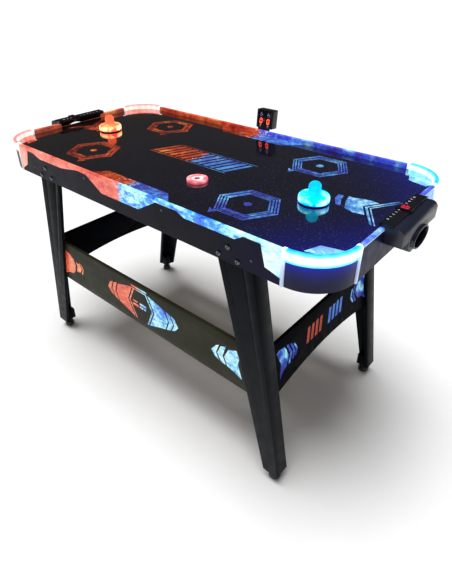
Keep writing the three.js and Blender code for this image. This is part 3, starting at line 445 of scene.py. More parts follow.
HOOD_BLACK = moulded("hood_black", (0.012, 0.015, 0.028), 0.34, grain=1100, depth=0.3)
BAR_BLACK = moulded("bar_black", (0.006, 0.007, 0.010), 0.3)
SENSOR_BLACK = moulded("sensor_black", (0.02, 0.02, 0.02), 0.3)
PRINT_WHITE = moulded("print_white", (0.8, 0.82, 0.85), 0.5)
SLIDER_RED = moulded("slider_red", (0.75, 0.02, 0.06), 0.28)
SLIDER_GREY = moulded("slider_grey", (0.03, 0.03, 0.034), 0.3)
SCORER_BLACK = moulded("scorer_black", (0.012, 0.013, 0.018), 0.4)
WINDOW_TINT = moulded("window_tint", (0.012, 0.004, 0.008), 0.12, grain=300, depth=0.03)
BUTTON_GREY = moulded("button_grey", (0.45, 0.47, 0.5), 0.35)
FAN_BLACK = moulded("fan_black", (0.010, 0.010, 0.011), 0.45)
FELT = moulded("felt", (0.02, 0.02, 0.024), 0.9, grain=2600, depth=0.6)
FIBREBOARD = fibre("fibreboard", (0.42, 0.29, 0.17))
DIGIT_RED = glowing("digit_red", (1.0, 0.12, 0.06), (1.0, 0.03, 0.015), 4)
PRINT_BLUE = glowing("print_blue", (0.35, 0.5, 0.75), (0.25, 0.35, 0.6), 0.3)
LAMP_BOARD = glowing("pusher_lamp_board", (0.9, 0.95, 0.9), (0.2, 0.5, 0.3), 1.5)
POST_LOOKS = {
    ICE: lit_post("ice_post", (0.5, 0.6, 0.85), (0.6, 0.95, 1.0), 1.6),
    FIRE: lit_post("fire_post", (0.8, 0.6, 0.6), (1.0, 0.75, 0.7), 1.4),
}
COVER_LOOKS = {
    ICE: lit_cover("ice_cover", ICE_COVER, 4.2, 0.07), FIRE: lit_cover("fire_cover", FIRE_COVER, 3.0, 0.12),
}
PANEL_LOOKS = {
    ICE: tinted_board("ice_panel", (0.008, 0.009, 0.03), (0.01, 0.02, 1.0), 0.6),
    FIRE: tinted_board("fire_panel", (0.012, 0.010, 0.012), (1.0, 0.12, 0.08), 0.02),
}
STRIP_LOOKS = {
    ICE: lamp_strip("ice_strip", (0.3, 0.75, 1.0)), FIRE: lamp_strip("fire_strip", (1.0, 0.4, 0.3)),
}
ICE_PUSHER = (0, 0.12, 0.36), (0, 0.33, 0.4), (0.3, 0.78, 0.9), (0.0, 0.14, 0.75)
FIRE_PUSHER = (0.4, 0.025, 0.012), (0.55, 0.08, 0.03), (1, 0.5, 0.2), (0.7, 0.02, 0.025)
PUSHER_LOOKS = {
    ICE: lit_pusher("pusher_ice", *ICE_PUSHER, 4.2), FIRE: lit_pusher("pusher_fire", *FIRE_PUSHER, 4.8),
}
PUCK_RING = lit_puck("puck_ring_look", (0.75, 0.07, 0.1), (0.95, 0.2, 0.24), (1.0, 0.6, 0.6), 0.8)
PUCK_DARK = lit_puck("puck_print_dark", (0.12, 0.01, 0.015), (0.3, 0.02, 0.03), (0.6, 0.1, 0.1), 0.3)
PUCK_WHITE = lit_puck("puck_print_white", (0.9, 0.5, 0.5), (1.0, 0.7, 0.68), (1.0, 0.9, 0.88), 0.7)


# ---------------------------------------------------------------- mesh tools
def painted(mesh, looks):
    """Gives a mesh its materials; every face starts with the first."""
    mesh.materials.clear()
    for look in looks:
        mesh.materials.append(look)
    return mesh


def cleaned(source, target, weld=1e-6, flat=None):
    """Copies a mesh with doubled points joined. With flat, faces that turn less than that also join."""
    work = bmesh.new()
    work.from_mesh(source)
    bmesh.ops.remove_doubles(work, verts=work.verts, dist=weld)
    if flat:
        bmesh.ops.dissolve_limit(work, angle_limit=math.radians(flat), verts=work.verts, edges=work.edges)
    else:
        bmesh.ops.dissolve_degenerate(work, edges=work.edges, dist=weld)
        bmesh.ops.recalc_face_normals(work, faces=work.faces)
    work.to_mesh(target)
    work.free()
    return target


def bake(made):
    """Applies an object's modifiers."""
    graph = bpy.context.evaluated_depsgraph_get()
    mesh = bpy.data.meshes.new_from_object(made.evaluated_get(graph))
    made.modifiers.clear()
    made.data = mesh


def linked(name, data):
    made = bpy.data.objects.new(name, data)
    bpy.context.collection.objects.link(made)
    return made


def piece(name, mesh, body, replaces=(), round_edges=None, angle=35):
    """Puts a finished mesh in the scene, on its body, with the CAD nodes it stands for.
    round_edges is the bevel's width in millimetres and its segments."""
    mesh.name = name
    made = linked(name, mesh)
    if round_edges:
        bevel = made.modifiers.new("bevel", "BEVEL")
        bevel.width, bevel.segments = round_edges[0] * MM, round_edges[1]
        bevel.limit_method = "ANGLE"
        bevel.angle_limit = math.radians(32)
        bevel.harden_normals = True
        bake(made)
    made.data.shade_smooth()
    made.data.set_sharp_from_angle(angle=math.radians(angle))
    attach(made, body)
    if replaces:
        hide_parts(*replaces)


def crisp(node, look, width=0.8, segments=2):
    """A CAD node's shape with rounded edges, on the same body."""
    source = frame["nodes"][node]
    mesh = painted(cleaned(source.data, bpy.data.meshes.new(node), flat=1), [look])
    piece(f"{node}_finished", mesh, source["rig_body"], [node], (width, segments))


def mesh_of(points, faces, looks, indexes=None):
    mesh = bpy.data.meshes.new("mesh")
    mesh.from_pydata([tuple(p) for p in points], [], faces)
    painted(mesh, looks)
    if indexes:
        mesh.polygons.foreach_set("material_index", indexes)
    return cleaned(mesh, mesh)


def spread(low, high, count):
    """Evenly spaced values, both ends included."""
    return [low + (high - low) * i / count for i in range(count + 1)]


def arc(cx, cy, radius, start, end, steps):
    """Points on an arc, in degrees, both ends included."""
    angles = [math.radians(a) for a in spread(start, end, steps)]
    return [(cx + radius * math.cos(a), cy + radius * math.sin(a)) for a in angles]


def ellipse(cu, cv, ru, rv, steps=64):
    angles = [math.radians(a) for a in spread(0, 360, steps)[:-1]]
    return [(cu + ru * math.cos(a), cv + rv * math.sin(a)) for a in angles]


def rectangle(u0, u1, v0, v1):
    return [(u0, v0), (u1, v0), (u1, v1), (u0, v1)]


def rounded_rectangle(half_x, half_y, radius, steps=8, cx=0.0, cy=0.0):
    outline = []
    for sx, sy, start in ((1, 1, 0), (-1, 1, 90), (-1, -1, 180), (1, -1, 270)):
        x, y = cx + sx * (half_x - radius), cy + sy * (half_y - radius)
        outline += arc(x, y, radius, start, start + 90, steps)
    return outline


def softened(points, rounds=1):
    """Cuts a profile's corners so that it curves; its ends stay."""
    for _ in range(rounds):
        cut = [points[0]]
        for (ax, ay), (bx, by) in zip(points, points[1:]):
            cut += [(ax * s + bx * (1 - s), ay * s + by * (1 - s)) for s in (0.75, 0.25)]
        points = [*cut, points[-1]]
    return points


def swept(section, degrees, place):
    """Rings for a tube: a section of (radius, height) turned about the place's origin."""
    angles = [math.radians(a) for a in degrees]
    return [[place(r * math.cos(a), r * math.sin(a), z) for r, z in section] for a in angles]


def tube(rings, looks, row_look=None, closed=False):
    """Skins a list of rings, each a loop of points, and caps the ends unless the tube closes on itself."""
    count, last = len(rings[0]), len(rings) * len(rings[0])
    faces, indexes = [], []
    for i in range(len(rings) if closed else len(rings) - 1):
        j = (i + 1) % len(rings)
        for k in range(count):
            m = (k + 1) % count
            faces.append((i * count + k, j * count + k, j * count + m, i * count + m))
            indexes.append(row_look(k) if row_look else 0)
    if not closed:
        faces += [tuple(range(count)), tuple(range(last - count, last))[::-1]]
        indexes += [0, 0]
    return mesh_of([p for ring in rings for p in ring], faces, looks, indexes)


def lathe(profile, steps, place, looks, row_look=None, sides=None):
    """Turns a profile of (radius, height), from axis to axis, about the vertical through the place's origin.
    Rows in sides are polygons with that many sides instead of circles."""
    points, faces, indexes = [], [], []
    for row, (radius, height) in enumerate(profile):
        for i in range(steps):
            a = 2 * math.pi * i / steps
            reach = radius
            if sides and row in sides:
                sector = math.pi / sides[row]
                reach = radius * math.cos(sector) / math.cos((a % (2 * sector)) - sector)
            points.append(place(reach * math.cos(a), reach * math.sin(a), height))
    for row in range(len(profile) - 1):
        low, high = row * steps, (row + 1) * steps
        for i in range(steps):
            j = (i + 1) % steps
            faces.append((low + i, low + j, high + j, high + i))
            indexes.append(row_look(row) if row_look else 0)
    return mesh_of(points, faces, looks, indexes)


def prism(outline, low, high, place, looks=()):
    """An outline made solid between two depths; place turns (u, v, depth) into a point."""
    size = len(outline)
    points = [place(u, v, w) for w in (low, high) for u, v in outline]
    walls = [(i, (i + 1) % size, size + (i + 1) % size, size + i) for i in range(size)]
    return mesh_of(points, [tuple(range(size)), tuple(range(size, 2 * size))[::-1], *walls], looks)


def anticlockwise(loop):
    turn = sum(a[0] * b[1] - b[0] * a[1] for a, b in zip(loop, [*loop[1:], loop[0]]))
    return loop if turn > 0 else loop[::-1]


PLAN_WELD = 1e-4  # points of an outline this near each other become one


def slab(outline, place, top, bottom, looks, holes=(), regions=()):
    """A flat plate with holes. Regions are (outline, look's index) pairs printed on its upper face.
    place turns a plan point and a height into a point of the frame."""
    points, loops = [], []
    for loop in (outline, *holes, *(shape for shape, _ in regions)):
        loops.append(list(range(len(points), len(points) + len(loop))))
        points += [Vector(p) for p in anticlockwise(loop)]
    flat, _, triangles, _, _, inside = delaunay_2d_cdt(points, [], loops, 1, PLAN_WELD)
    first_region = 1 + len(holes)
    kept, indexes = [], []
    for triangle, owners in zip(triangles, inside):
        if 0 not in owners or any(1 <= o < first_region for o in owners):
            continue
        printed = [o for o in owners if o >= first_region]
        kept.append(tuple(triangle))
        indexes.append(regions[max(printed) - first_region][1] if printed else 0)
    size = len(flat)
    directed = {(t[i], t[(i + 1) % 3]) for t in kept for i in range(3)}
    walls = [(a, a + size, b + size, b) for a, b in sorted(directed) if (b, a) not in directed]
    faces = kept + [tuple(size + v for v in reversed(t)) for t in kept] + walls
    indexes += [0] * (len(kept) + len(walls))
    return mesh_of([place(p.x, p.y, z) for z in (top, bottom) for p in flat], faces, looks, indexes)


def combined(base, steps, look):
    """Adds or cuts meshes: steps are (operation, mesh) pairs."""
    body = linked("body", base)
    tools = [linked("tool", mesh) for _, mesh in steps]
    for (operation, _), tool in zip(steps, tools):
        made = body.modifiers.new("boolean", "BOOLEAN")
        made.operation, made.solver, made.object = operation, "EXACT", tool
    bake(body)
    mesh = body.data
    for extra in (body, *tools):
        bpy.data.objects.remove(extra)
    return painted(cleaned(mesh, mesh, 5e-6, 0.5), [look])


def merged(meshes, look):
    """Puts meshes together in one, all of one material."""
    work = bmesh.new()
    for mesh in meshes:
        work.from_mesh(mesh)
    made = bpy.data.meshes.new("merged")
    work.to_mesh(made)
    work.free()
    return painted(made, [look])


def numeral(value, size, thickness, matrix):
    """A printed number as a thin raised mesh."""
    curve = bpy.data.curves.new("numeral", "FONT")
    curve.body = str(value)
    curve.size = size * MM
    curve.extrude = thickness * MM / 2
    curve.align_x, curve.align_y = "CENTER", "CENTER"
    text = linked("numeral", curve)
    bpy.context.view_layer.update()
    mesh = bpy.data.meshes.new_from_object(text.evaluated_get(bpy.context.evaluated_depsgraph_get()))
    bpy.data.objects.remove(text)
    mesh.transform(matrix)
    return mesh


# ---------------------------------------------------------------- places, which turn (u, v, w) into a point
def over(node):
    """With its origin under the middle of a node's box."""
    low, high = box_of(node)
    x, y = (low.x + high.x) / 2, (low.y + high.y) / 2 - MIDDLE_Y
    return lambda u, v, w: at(x + u, y + v, low.z + w)


def on_side(side, x, z, out=0.0):
    """On the outer face of a side board, third direction outwards."""
    return lambda u, v, w: at(x + u, side * (HALF_WIDTH + out + w), z + v)


def turned(degrees):
    """About the upright through the table's middle."""
    turn = Matrix.Rotation(math.radians(degrees), 3, "Z")
    return lambda u, v, w: at(*(turn @ Vector((u, v, w))))


def at_corner(end, side):
    """From a corner's centre, outwards past the end and past the side."""
    return lambda x, y, z: at(end * (CORNER_X + x), side * (CORNER_Y + y), z)


def along_y(end, shift=0.0):
    """A section (distance from the middle, height) that runs across the table."""
    return lambda u, v, w: at(end * u, shift + w, v)


def along_x(end, shift=0.0):
    """A section (distance across, height) that runs outwards past an end."""
    return lambda u, v, w: at(end * w, shift + u, v)


# ---------------------------------------------------------------- side and end boards
# Where the printed art ends on the outer faces: place along the board and height
LONG_ART_EDGE = [
    (-577, 750), (-527, 780), (-507, 833), (-473, 833), (-433, 820), (-300, 820), (-207, 835), (-163, 833),
    (-93, 791), (77, 791), (153, 835), (233, 835), (260, 823), (427, 823), (453, 839), (503, 839), (517, 783),
    (577, 766),
]
SHORT_ART_EDGE = [(-226, 838), (100, 838), (150, 822), (226, 776)]
FACE_ROW = 2  # from the art's edge up to the rounded edge
RAIL_ROWS = range(3, 17)  # over the top and down the inner face


def art_height(edge, along):
    for (a, low), (b, high) in zip(edge, edge[1:]):
        if a <= along <= b:
            return low + (high - low) * (along - a) / (b - a)
    return edge[0][1] if along < edge[0][0] else edge[-1][1]


def stations(edge, reach, step=30):
    """Places along a board: evenly spaced, and at each turn of the art's edge."""
    even = spread(-reach, reach, round(2 * reach / step))
    return sorted({round(v, 3) for v in even + [a for a, _ in edge if abs(a) < reach]})


def board_ring(art_low, ceiling):
    """A board's section as (inwards, height), from the outer face's foot; heights stop at the ceiling."""
    radius, foot = 4.5, BOARD_BOTTOM + 1
    crest = RAIL_TOP - radius
    seat, groove = FIELD_Z + GAP, BOARD - GROOVE - GAP
    under = seat - FIELD_THICKNESS - 2 * GAP
    ring = [(1, BOARD_BOTTOM), (0, foot), (0, min(max(art_low, foot + 1), crest))]
    ring += arc(radius, crest, radius, 180, 90, 6) + arc(BOARD - radius, crest, radius, 90, 0, 6)
    ring += [(BOARD, seat), (groove, seat), (groove, under), (BOARD, under)]
    ring += [(BOARD, foot), (BOARD - 1, BOARD_BOTTOM)]
    return [(inwards, min(z, ceiling)) for inwards, z in ring]


def make_board(name, replaced, edge, reach, place, top_art, goal=False):
    rings = [(along, art_height(edge, along), RAIL_TOP) for along in stations(edge, reach)]
    if goal:
        floor = FIELD_Z - GAP
        notch = [(along, low, floor) for along, low, _ in rings if abs(along) < GOAL_HALF]
        gates = [(g, art_height(edge, g), z) for g in (-GOAL_HALF, GOAL_HALF) for z in (RAIL_TOP, floor)]
        left, right = [r for r in rings if r[0] < -GOAL_HALF], [r for r in rings if r[0] > GOAL_HALF]
        rings = [*left, *gates[:2], *notch, *gates[:1:-1], *right]
    loops = [[place(along, inwards, z) for inwards, z in board_ring(low, top)] for along, low, top in rings]
    rows = lambda k: 1 if k == FACE_ROW else 2 if k in RAIL_ROWS else 0
    piece(name, tube(loops, [BLACK_BOARD, FACE_ART, top_art], rows), "table", [replaced])


for side, name in SIDES:
    place = lambda along, inwards, z: at(along, side * (HALF_WIDTH - inwards), z)
    art = FRONT_RAIL_ART if side == FRONT else RAIL_ART
    make_board(f"side_board_{name}", f"apron_{name}", LONG_ART_EDGE, BOARD_END, place, art)
for end, name in ENDS:
    place = lambda along, inwards, z: at(end * (HALF_LENGTH - inwards), along, z)
    reach = END_BOARD_END
    make_board(f"end_board_{name}", f"apron_end_{name}", SHORT_ART_EDGE, reach, place, RAIL_ART, goal=True)


# ---------------------------------------------------------------- lit corners
LAMPS = 7
COVER_SKIRT = 820
COVER_INNER = COVER_OUT - 15
CROWN = 7


def crest(out, inner, high, crown, steps):
    """The round top of a section, from its outer face over to its inner one."""
    return arc(out - crown, high, crown, 0, 90, steps) + arc(inner + crown, high, crown, 90, 180, steps)


def cover_section():
    """The hollow cover as (radius, height): a channel with a round back, open below."""
    out, inner, wall = COVER_OUT, COVER_INNER, 2.5
    seat, high = FIELD_Z + 2 * GAP, COVER_TOP - CROWN
    outside = crest(out, inner, high, CROWN, 6)
    inside = crest(out - wall, inner + wall, high, CROWN - wall, 4)[::-1]
    foot = [(inner, seat), (inner + wall, seat)]
    return [(out, COVER_SKIRT), *outside, *foot, *inside, (out - wall, COVER_SKIRT)]


def set_lamp(mesh, end, side):
    """Stores how near each point is to a lamp under the cover."""
    values = []
    for vertex in mesh.vertices:
        x = end * vertex.co.x / MM - CORNER_X
        y = side * (vertex.co.y / MM - MIDDLE_Y) - CORNER_Y
        share = math.degrees(math.atan2(max(y, 0), max(x, 1e-3))) / 90
        phase = (share * (LAMPS - 1)) % 1
        values.append(0.5 + 0.5 * math.cos(2 * math.pi * phase))
    mesh.attributes.new("lamp", "FLOAT", "POINT").data.foreach_set("value", values)


def make_cover(end, side, quarter):
    mesh = tube(swept(cover_section(), spread(0, 90, 56), at_corner(end, side)), [COVER_LOOKS[end]])
    set_lamp(mesh, end, side)
    piece(f"light_cover_{quarter}", mesh, "table", [f"corner_cover_{quarter}"])


def make_posts(end, side, quarter):
    """The posts that end a cover: strips down the boards' ends with a rounded head over the rail."""
    proud, place = 0.5, at_corner(end, side)
    out, deep, seat = COVER_OUT + proud, COVER_OUT - 9.8, FIELD_Z + 2 * GAP
    section = [(out, BOARD_BOTTOM), *crest(out, COVER_INNER, COVER_TOP - CROWN + proud, CROWN, 6)]
    section += [(COVER_INNER, seat), (deep, seat), (deep, BOARD_BOTTOM)]
    loops = {
        "end": [[place(r, back, z) for r, z in section] for back in (0, -POST)],
        "side": [[place(back, r, z) for r, z in section] for back in (0, -POST)],
    }
    for which, rings in loops.items():
        mesh = tube(rings, [POST_LOOKS[end]])
        piece(f"light_post_{quarter}_{which}", mesh, "table", (), (1.2, 3))


def make_corner_panel(end, side, quarter):
    panel_low, panel_high = box_of("corner_panel_ice_back")
    outer, inner = CORNER_R - 2, CORNER_R - 12
    low, high = panel_low.z, panel_high.z
    section = [(inner, high), (inner, low + 1), (inner + 1, low)]
    section += [(outer - 1, low), (outer, low + 1), (outer, high)]
    mesh = tube(swept(section, spread(0.35, 89.65, 40), at_corner(end, side)), [PANEL_LOOKS[end]])
    piece(f"curved_panel_{quarter}", mesh, "table", [f"corner_panel_{quarter}"])


for corner in QUARTERS:
    make_cover(*corner)
    make_posts(*corner)
    make_corner_panel(*corner)


# ---------------------------------------------------------------- playing field
HOLE_PITCH, HOLE_RADIUS, HOLE_TURN = 25.4, 0.8, 5.73
CHAMBER_HALF = 266
RAIL_MARGIN = 12


def side_of(cx, cy, inner, outer, i):
    """One side of a hexagonal band."""
    near, far = [ellipse(cx, cy, r, r * 0.97, 6) for r in (inner, outer)]
    j = (i + 1) % 6
    return [far[i], far[j], near[j], near[i]]


def target(cx, cy):
    """A hexagon of doubled lines, with a third line on one side that runs down to a point."""
    bands = [((2, 4), [(65, 80)]), ((0, 1, 3, 5), [(65, 70), (74, 80)]), ((2, 5), [(85, 97)]),
             ((0, 1, 4), [(84, 89), (93, 98)]), ((3,), [(85, 90), (94, 99)])]
    shapes = [side_of(cx, cy, *band, i) for sides, widths in bands for i in sides for band in widths]
    shapes.append([(cx - 66, cy - 78), (cx - 51, cy - 104), (cx - 38, cy - 84), (cx - 52, cy - 84)])
    return [*shapes, ellipse(cx, cy, 13, 13 * 0.97, 6)]


FIELD_END_ART = [
    [(640, 86), (586, 0), (640, -86), (646, -86), (593, 0), (646, 86)],
    [(650, 84), (599, 0), (650, -84), (654, -84), (603, 0), (654, 84)],
    [(580, 0), (606, 42), (585, 46), (560, 42), (540, 34), (522, 34), (531, 0), (548, -40), (578, -50),
     (606, -44)],
    [(517, 0), (510, 28), (494, 30), (498, 0), (519, -34), (534, -36)],
]
FIELD_CORNER_ART = [(602, 249), (657, 235), (668, 275), (585, 294)]
FIELD_SIDE_ART = [(-192, 332), (-140, 272), (128, 272), (192, 332)]


def mirrored(shape, sx, sy=1):
    return [(sx * x, sy * y) for x, y in shape]


def emblem():
    """A band of slanted bars between two lines, in the middle of the field."""
    lean, bars, x = 0.42, [], -168
    for i in range(13):
        width = 20 if i % 2 else 13
        bars.append((x, x + width, -46, 46))
        x += width + 10
    bars += [(-172, 172, 53, 55.5), (-172, 172, -55.5, -53)]
    return [[(u + lean * v, v) for u, v in rectangle(*bar)] for bar in bars]


def over_chamber(x, y):
    """Whether a point of the field is over the air chamber and clear of the rails."""
    dx, dy = abs(x) - CORNER_X, abs(y) - CORNER_Y
    if abs(x) > INNER_X - RAIL_MARGIN or abs(y) > INNER_Y - RAIL_MARGIN or abs(y) >= CHAMBER_HALF:
        return False
    return dx < 0 or dy < 0 or math.hypot(dx, dy) < CORNER_R - BOARD - RAIL_MARGIN


def air_holes():
    rows, columns = int(INNER_Y / HOLE_PITCH), int(INNER_X / HOLE_PITCH)
    ring = (HOLE_RADIUS, HOLE_TURN, HOLE_TURN + 300, 5)
    spots = [(i, j) for i in range(-columns, columns + 1) for j in range(-rows, rows + 1)]
    places = [(i * HOLE_PITCH, j * HOLE_PITCH) for i, j in spots]
    return [arc(x, y, *ring) for x, y in places if over_chamber(x, y)]


def make_field():
    """The plate with its print; fire art mirrors ice art."""
    reach = GROOVE - BOARD
    outline = rounded_rectangle(HALF_LENGTH + reach, HALF_WIDTH + reach, CORNER_R + reach, 24)
    art = [*target(342, 184), *target(342, -184), *FIELD_END_ART]
    regions = [(mirrored(shape, end), 1) for end in (ICE, FIRE) for shape in art]
    regions += [(mirrored(FIELD_SIDE_ART, 1, side), 1) for side in (1, -1)]
    regions += [(shape, 3) for shape in emblem()]
    regions += [(mirrored(FIELD_CORNER_ART, end, side), 2 if end == ICE else 1) for end, side, _ in QUARTERS]
    looks = [FIELD_FILM, FIELD_ART, FACE_ART, EMBLEM_ART]
    mesh = slab(outline, at, FIELD_Z, FIELD_Z - FIELD_THICKNESS, looks, air_holes(), regions)
    piece("field_plate", mesh, "table", ["playfield"], angle=20)


make_field()


# ---------------------------------------------------------------- stand
LEG_SLOPE = (594 - 473) / 712
LEG_LEAN = math.atan(LEG_SLOPE)
STRETCHER_TOP, STRETCHER_BOTTOM = 481, 308
STRETCHER_HALF = 304.8
ARCH_RISE = 34
THICK = 12
LEG_INNER = HALF_WIDTH - BOARD - THICK - 2 * GAP


def bolt(place):
    """A domed bolt head with a hexagon socket; its axis runs out along the place's third direction."""
    profile = [(0, 1.2), (2.6, 1.2), (2.6, 2.9), (3.3, 3.3), (5.2, 3.0), (6.6, 2.2), (7.3, 1.1), (7.5, 0.4),
               (7.3, 0), (0, 0)]
    return lathe(profile, 36, place, [ZINC], sides={1: 6, 2: 6})


def screw(place, radius=3.2):
    """A small countersunk cross-head screw's visible head."""
    profile = [(0, 0.15), (radius * 0.45, 0.2), (radius * 0.55, 0.75), (radius * 0.85, 0.6), (radius, 0.2),
               (radius, 0), (0, 0)]
    return lathe(profile, 24, place, [ZINC], sides={1: 4, 2: 4})


def make_bolts(end, side, quarter):
    heads, shafts = [], []
    length = HALF_WIDTH - LEG_INNER + 1
    rod = [(0, 0), (3, 0), (3, length), (0, length)]
    for x, z in ((377, 766), (407, 794), (438, 764)):
        heads.append(bolt(on_side(side, end * x, z, GAP)))
        shafts.append(lathe(rod, 20, on_side(side, end * x, z, -length), [ZINC]))
    place = lambda u, v, w: at(end * u, side * (LEG_INNER - w), v)
    plate = slab(rounded_rectangle(41.5, 24.5, 4, 6, 407.5, 779.5), place, 0, 3, [ZINC])
    mesh = merged([*heads, *shafts, plate], ZINC)
    piece(f"bolts_{quarter}", mesh, "table", [f"leg_bolts_{quarter}"])


def make_foot(quarter):
    pad = [(0, 0), (15, 0), (18.3, 1.5), (18.5, 6), (18.5, 13), (16.5, 19), (13, 23), (10, 25), (10, 33.6),
           (9, 34), (4, 34)]
    pad = softened(pad, 2)
    thread = [(r, z + i * 1.5) for i in range(21) for r, z in ((3.9, 34.5), (3.3, 35.2))]
    rows = lambda row: 1 if row >= len(pad) else 0
    foot = f"foot_{quarter}"
    profile = [*pad, *thread, (3.3, 65.6), (0, 65.9)]
    mesh = lathe(profile, 40, over(f"levelling_{foot}"), [FOOT_RUBBER, ZINC], rows)
    piece(foot, mesh, foot, [f"levelling_{foot}"], angle=40)


# Print on the long stretchers, along and up
OUTER_GROUP_FIRE = [
    [(-476, 327), (-438, 346), (-407, 352), (-392, 372), (-384, 398), (-391, 424), (-413, 440), (-444, 446),
     (-451, 424), (-462, 368)],
    [(-381, 372), (-356, 376), (-344, 398), (-352, 420), (-366, 412), (-377, 420), (-371, 398)],
    [(-350, 372), (-340, 376), (-331, 399), (-343, 420), (-346, 418), (-337, 398)],
]
OUTER_GROUP_ICE = [
    [(372, 396), (388, 432), (418, 446), (428, 420), (424, 396), (440, 346), (412, 358), (384, 364)],
    [(345, 396), (358, 428), (378, 438), (366, 396), (378, 366), (360, 368)],
    [(321, 396), (340, 422), (352, 430), (340, 396), (352, 370), (336, 376)],
]
MIDDLE_GROUP = [
    [(132, 396), (118, 434), (60, 452), (40, 456), (68, 396), (38, 330), (58, 338), (118, 358)],
    [(156, 396), (142, 430), (124, 436), (138, 396), (124, 360), (142, 366)],
    [(180, 396), (164, 424), (148, 430), (162, 396), (148, 368), (164, 376)],
    [(34, 454), (62, 396), (32, 330), (26, 330), (55, 396), (28, 454)],
]
# Bars: left and right at the top, left and right at the foot, top, foot
MIDDLE_BARS = [
    (-44, 34, -40, 38, 467, 461), (-40, 32, -37, 35, 457, 453), (-42, -16, -42, -16, 405, 399),
    (-44, -14, -44, -14, 392, 382), (-6, 28, -8, 26, 405, 396), (-8, 12, -10, 10, 392, 382),
    (17, 26, 14, 23, 392, 382),
]
# Print on the ice end's stretcher, across and height down the board
ICE_BOARD_ART = [
    [(-256, 446), (-243, 451), (-214, 446), (-200, 410), (-214, 380), (-236, 372), (-252, 354), (-240, 404)],
    [(-206, 446), (-196, 444), (-182, 410), (-196, 378), (-206, 380), (-192, 410)],
    [(-188, 440), (-180, 438), (-166, 408), (-178, 382), (-187, 384), (-176, 408)],
    [(-171, 432), (-164, 430), (-154, 406), (-164, 386), (-171, 388), (-162, 407)],
    [(206, 404), (218, 436), (250, 440), (279, 448), (270, 404), (277, 352), (256, 370), (226, 376)],
    [(188, 404), (202, 434), (211, 436), (199, 404), (213, 374), (204, 372)],
    [(171, 404), (184, 428), (193, 430), (182, 404), (195, 380), (186, 378)],
]


def leg_outer(z):
    return 473 + (750 - z) * LEG_SLOPE - THICK / math.cos(LEG_LEAN) - GAP


def make_long_stretcher(side, name):
    low, high = STRETCHER_BOTTOM, STRETCHER_TOP
    foot, head = leg_outer(low), leg_outer(high)
    outline = [(-foot, low), (foot, low), (head, high), (-head, high)]
    bars = [[(a, top), (b, top), (d, base), (c, base)] for a, b, c, d, top, base in MIDDLE_BARS]
    shapes = [*OUTER_GROUP_FIRE, *OUTER_GROUP_ICE, *bars]
    shapes += [mirrored(shape, sign) for sign in (1, -1) for shape in MIDDLE_GROUP]
    place = lambda u, v, w: at(u, side * (LEG_INNER - w), v)
    mesh = slab(outline, place, 0, THICK, [OLIVE, BOARD_ART], (), [(shape, 1) for shape in shapes])
    piece(f"long_board_{name}", mesh, "table", [f"stretcher_{name}"], (1.0, 2))


def strokes(first, low=388, high=438, width=14, pitch=24, lean=15):
    """Four slanted strokes."""
    starts = [first + pitch * i for i in range(4)]
    return [[(y, low), (y + width, low), (y + width + lean, high), (y + lean, high)] for y in starts]


def make_end_stretcher(end, name):
    sine, cosine = math.sin(LEG_LEAN), math.cos(LEG_LEAN)
    half, drop = STRETCHER_HALF, (STRETCHER_TOP - STRETCHER_BOTTOM) / cosine
    arch = [(half * (2 * t - 1), -drop + 4 * ARCH_RISE * t * (1 - t)) for t in spread(0, 1, 32)]
    place = lambda y, s, w: at(
        end * (leg_outer(STRETCHER_TOP) - s * sine - w * cosine), y, STRETCHER_TOP + s * cosine - w * sine)
    printed = [(shape, 1) for shape in ICE_BOARD_ART]
    printed += [(shape, look) for first, look in ((-107, 3), (20, 2)) for shape in strokes(first)]
    regions = [([(y, (z - STRETCHER_TOP) / cosine) for y, z in shape], look) for shape, look in printed]
    looks = [END_BLACK, ICE_STRETCHER_ART, ICE_STROKE_ART, FIRE_STROKE_ART]
    mesh = slab([*arch, (half, 0), (-half, 0)], place, 0, THICK, looks, (), regions if end == ICE else ())
    piece(f"end_stretcher_{name}", mesh, "table", [f"stretcher_{name}"], (1.0, 2))


for end, side, quarter in QUARTERS:
    crisp(f"leg_{quarter}", LEG_BLACK, 1.2, 3)
    make_bolts(end, side, quarter)
    make_foot(quarter)
for side, name in SIDES:
    make_long_stretcher(side, name)
for end, name in ENDS:
    make_end_stretcher(end, name)
spots = [(-175, 819), (175, 819), (-478, 783), (478, 783)]
board_screws = [screw(on_side(side, x, z, -0.05)) for side in (FRONT, BACK) for x, z in spots]
piece("board_screws", merged(board_screws, ZINC), "table")


# ---------------------------------------------------------------- goals
HOOD_IN, HOOD_OUT, HOOD_TOP, HOOD_BOTTOM = 686.3, 733.5, 851.5, 806
HOOD_HALF, HOOD_WALL, HOOD_ROUND = 108, 2.5, 17
BAR_PITCH = 16


def hood_section(inset):
    x0, round_x, round_z = HOOD_IN - (1 if inset else 0), HOOD_OUT - HOOD_ROUND, HOOD_TOP - HOOD_ROUND
    top = [*arc(round_x, round_z, HOOD_ROUND - inset, 0, 90, 14), (x0, HOOD_TOP - inset)]
    return [(x0, HOOD_BOTTOM + inset), (HOOD_OUT - inset, HOOD_BOTTOM + inset), *top]


def scoop_outline(inset):
    r, half, turn = 35 - inset, 62 - inset, 800
    round_foot = arc(r - half, turn, r, 180, 270, 16) + arc(half - r, turn, r, 270, 360, 16)
    return [(half, 810.5), (-half, 810.5), *round_foot]


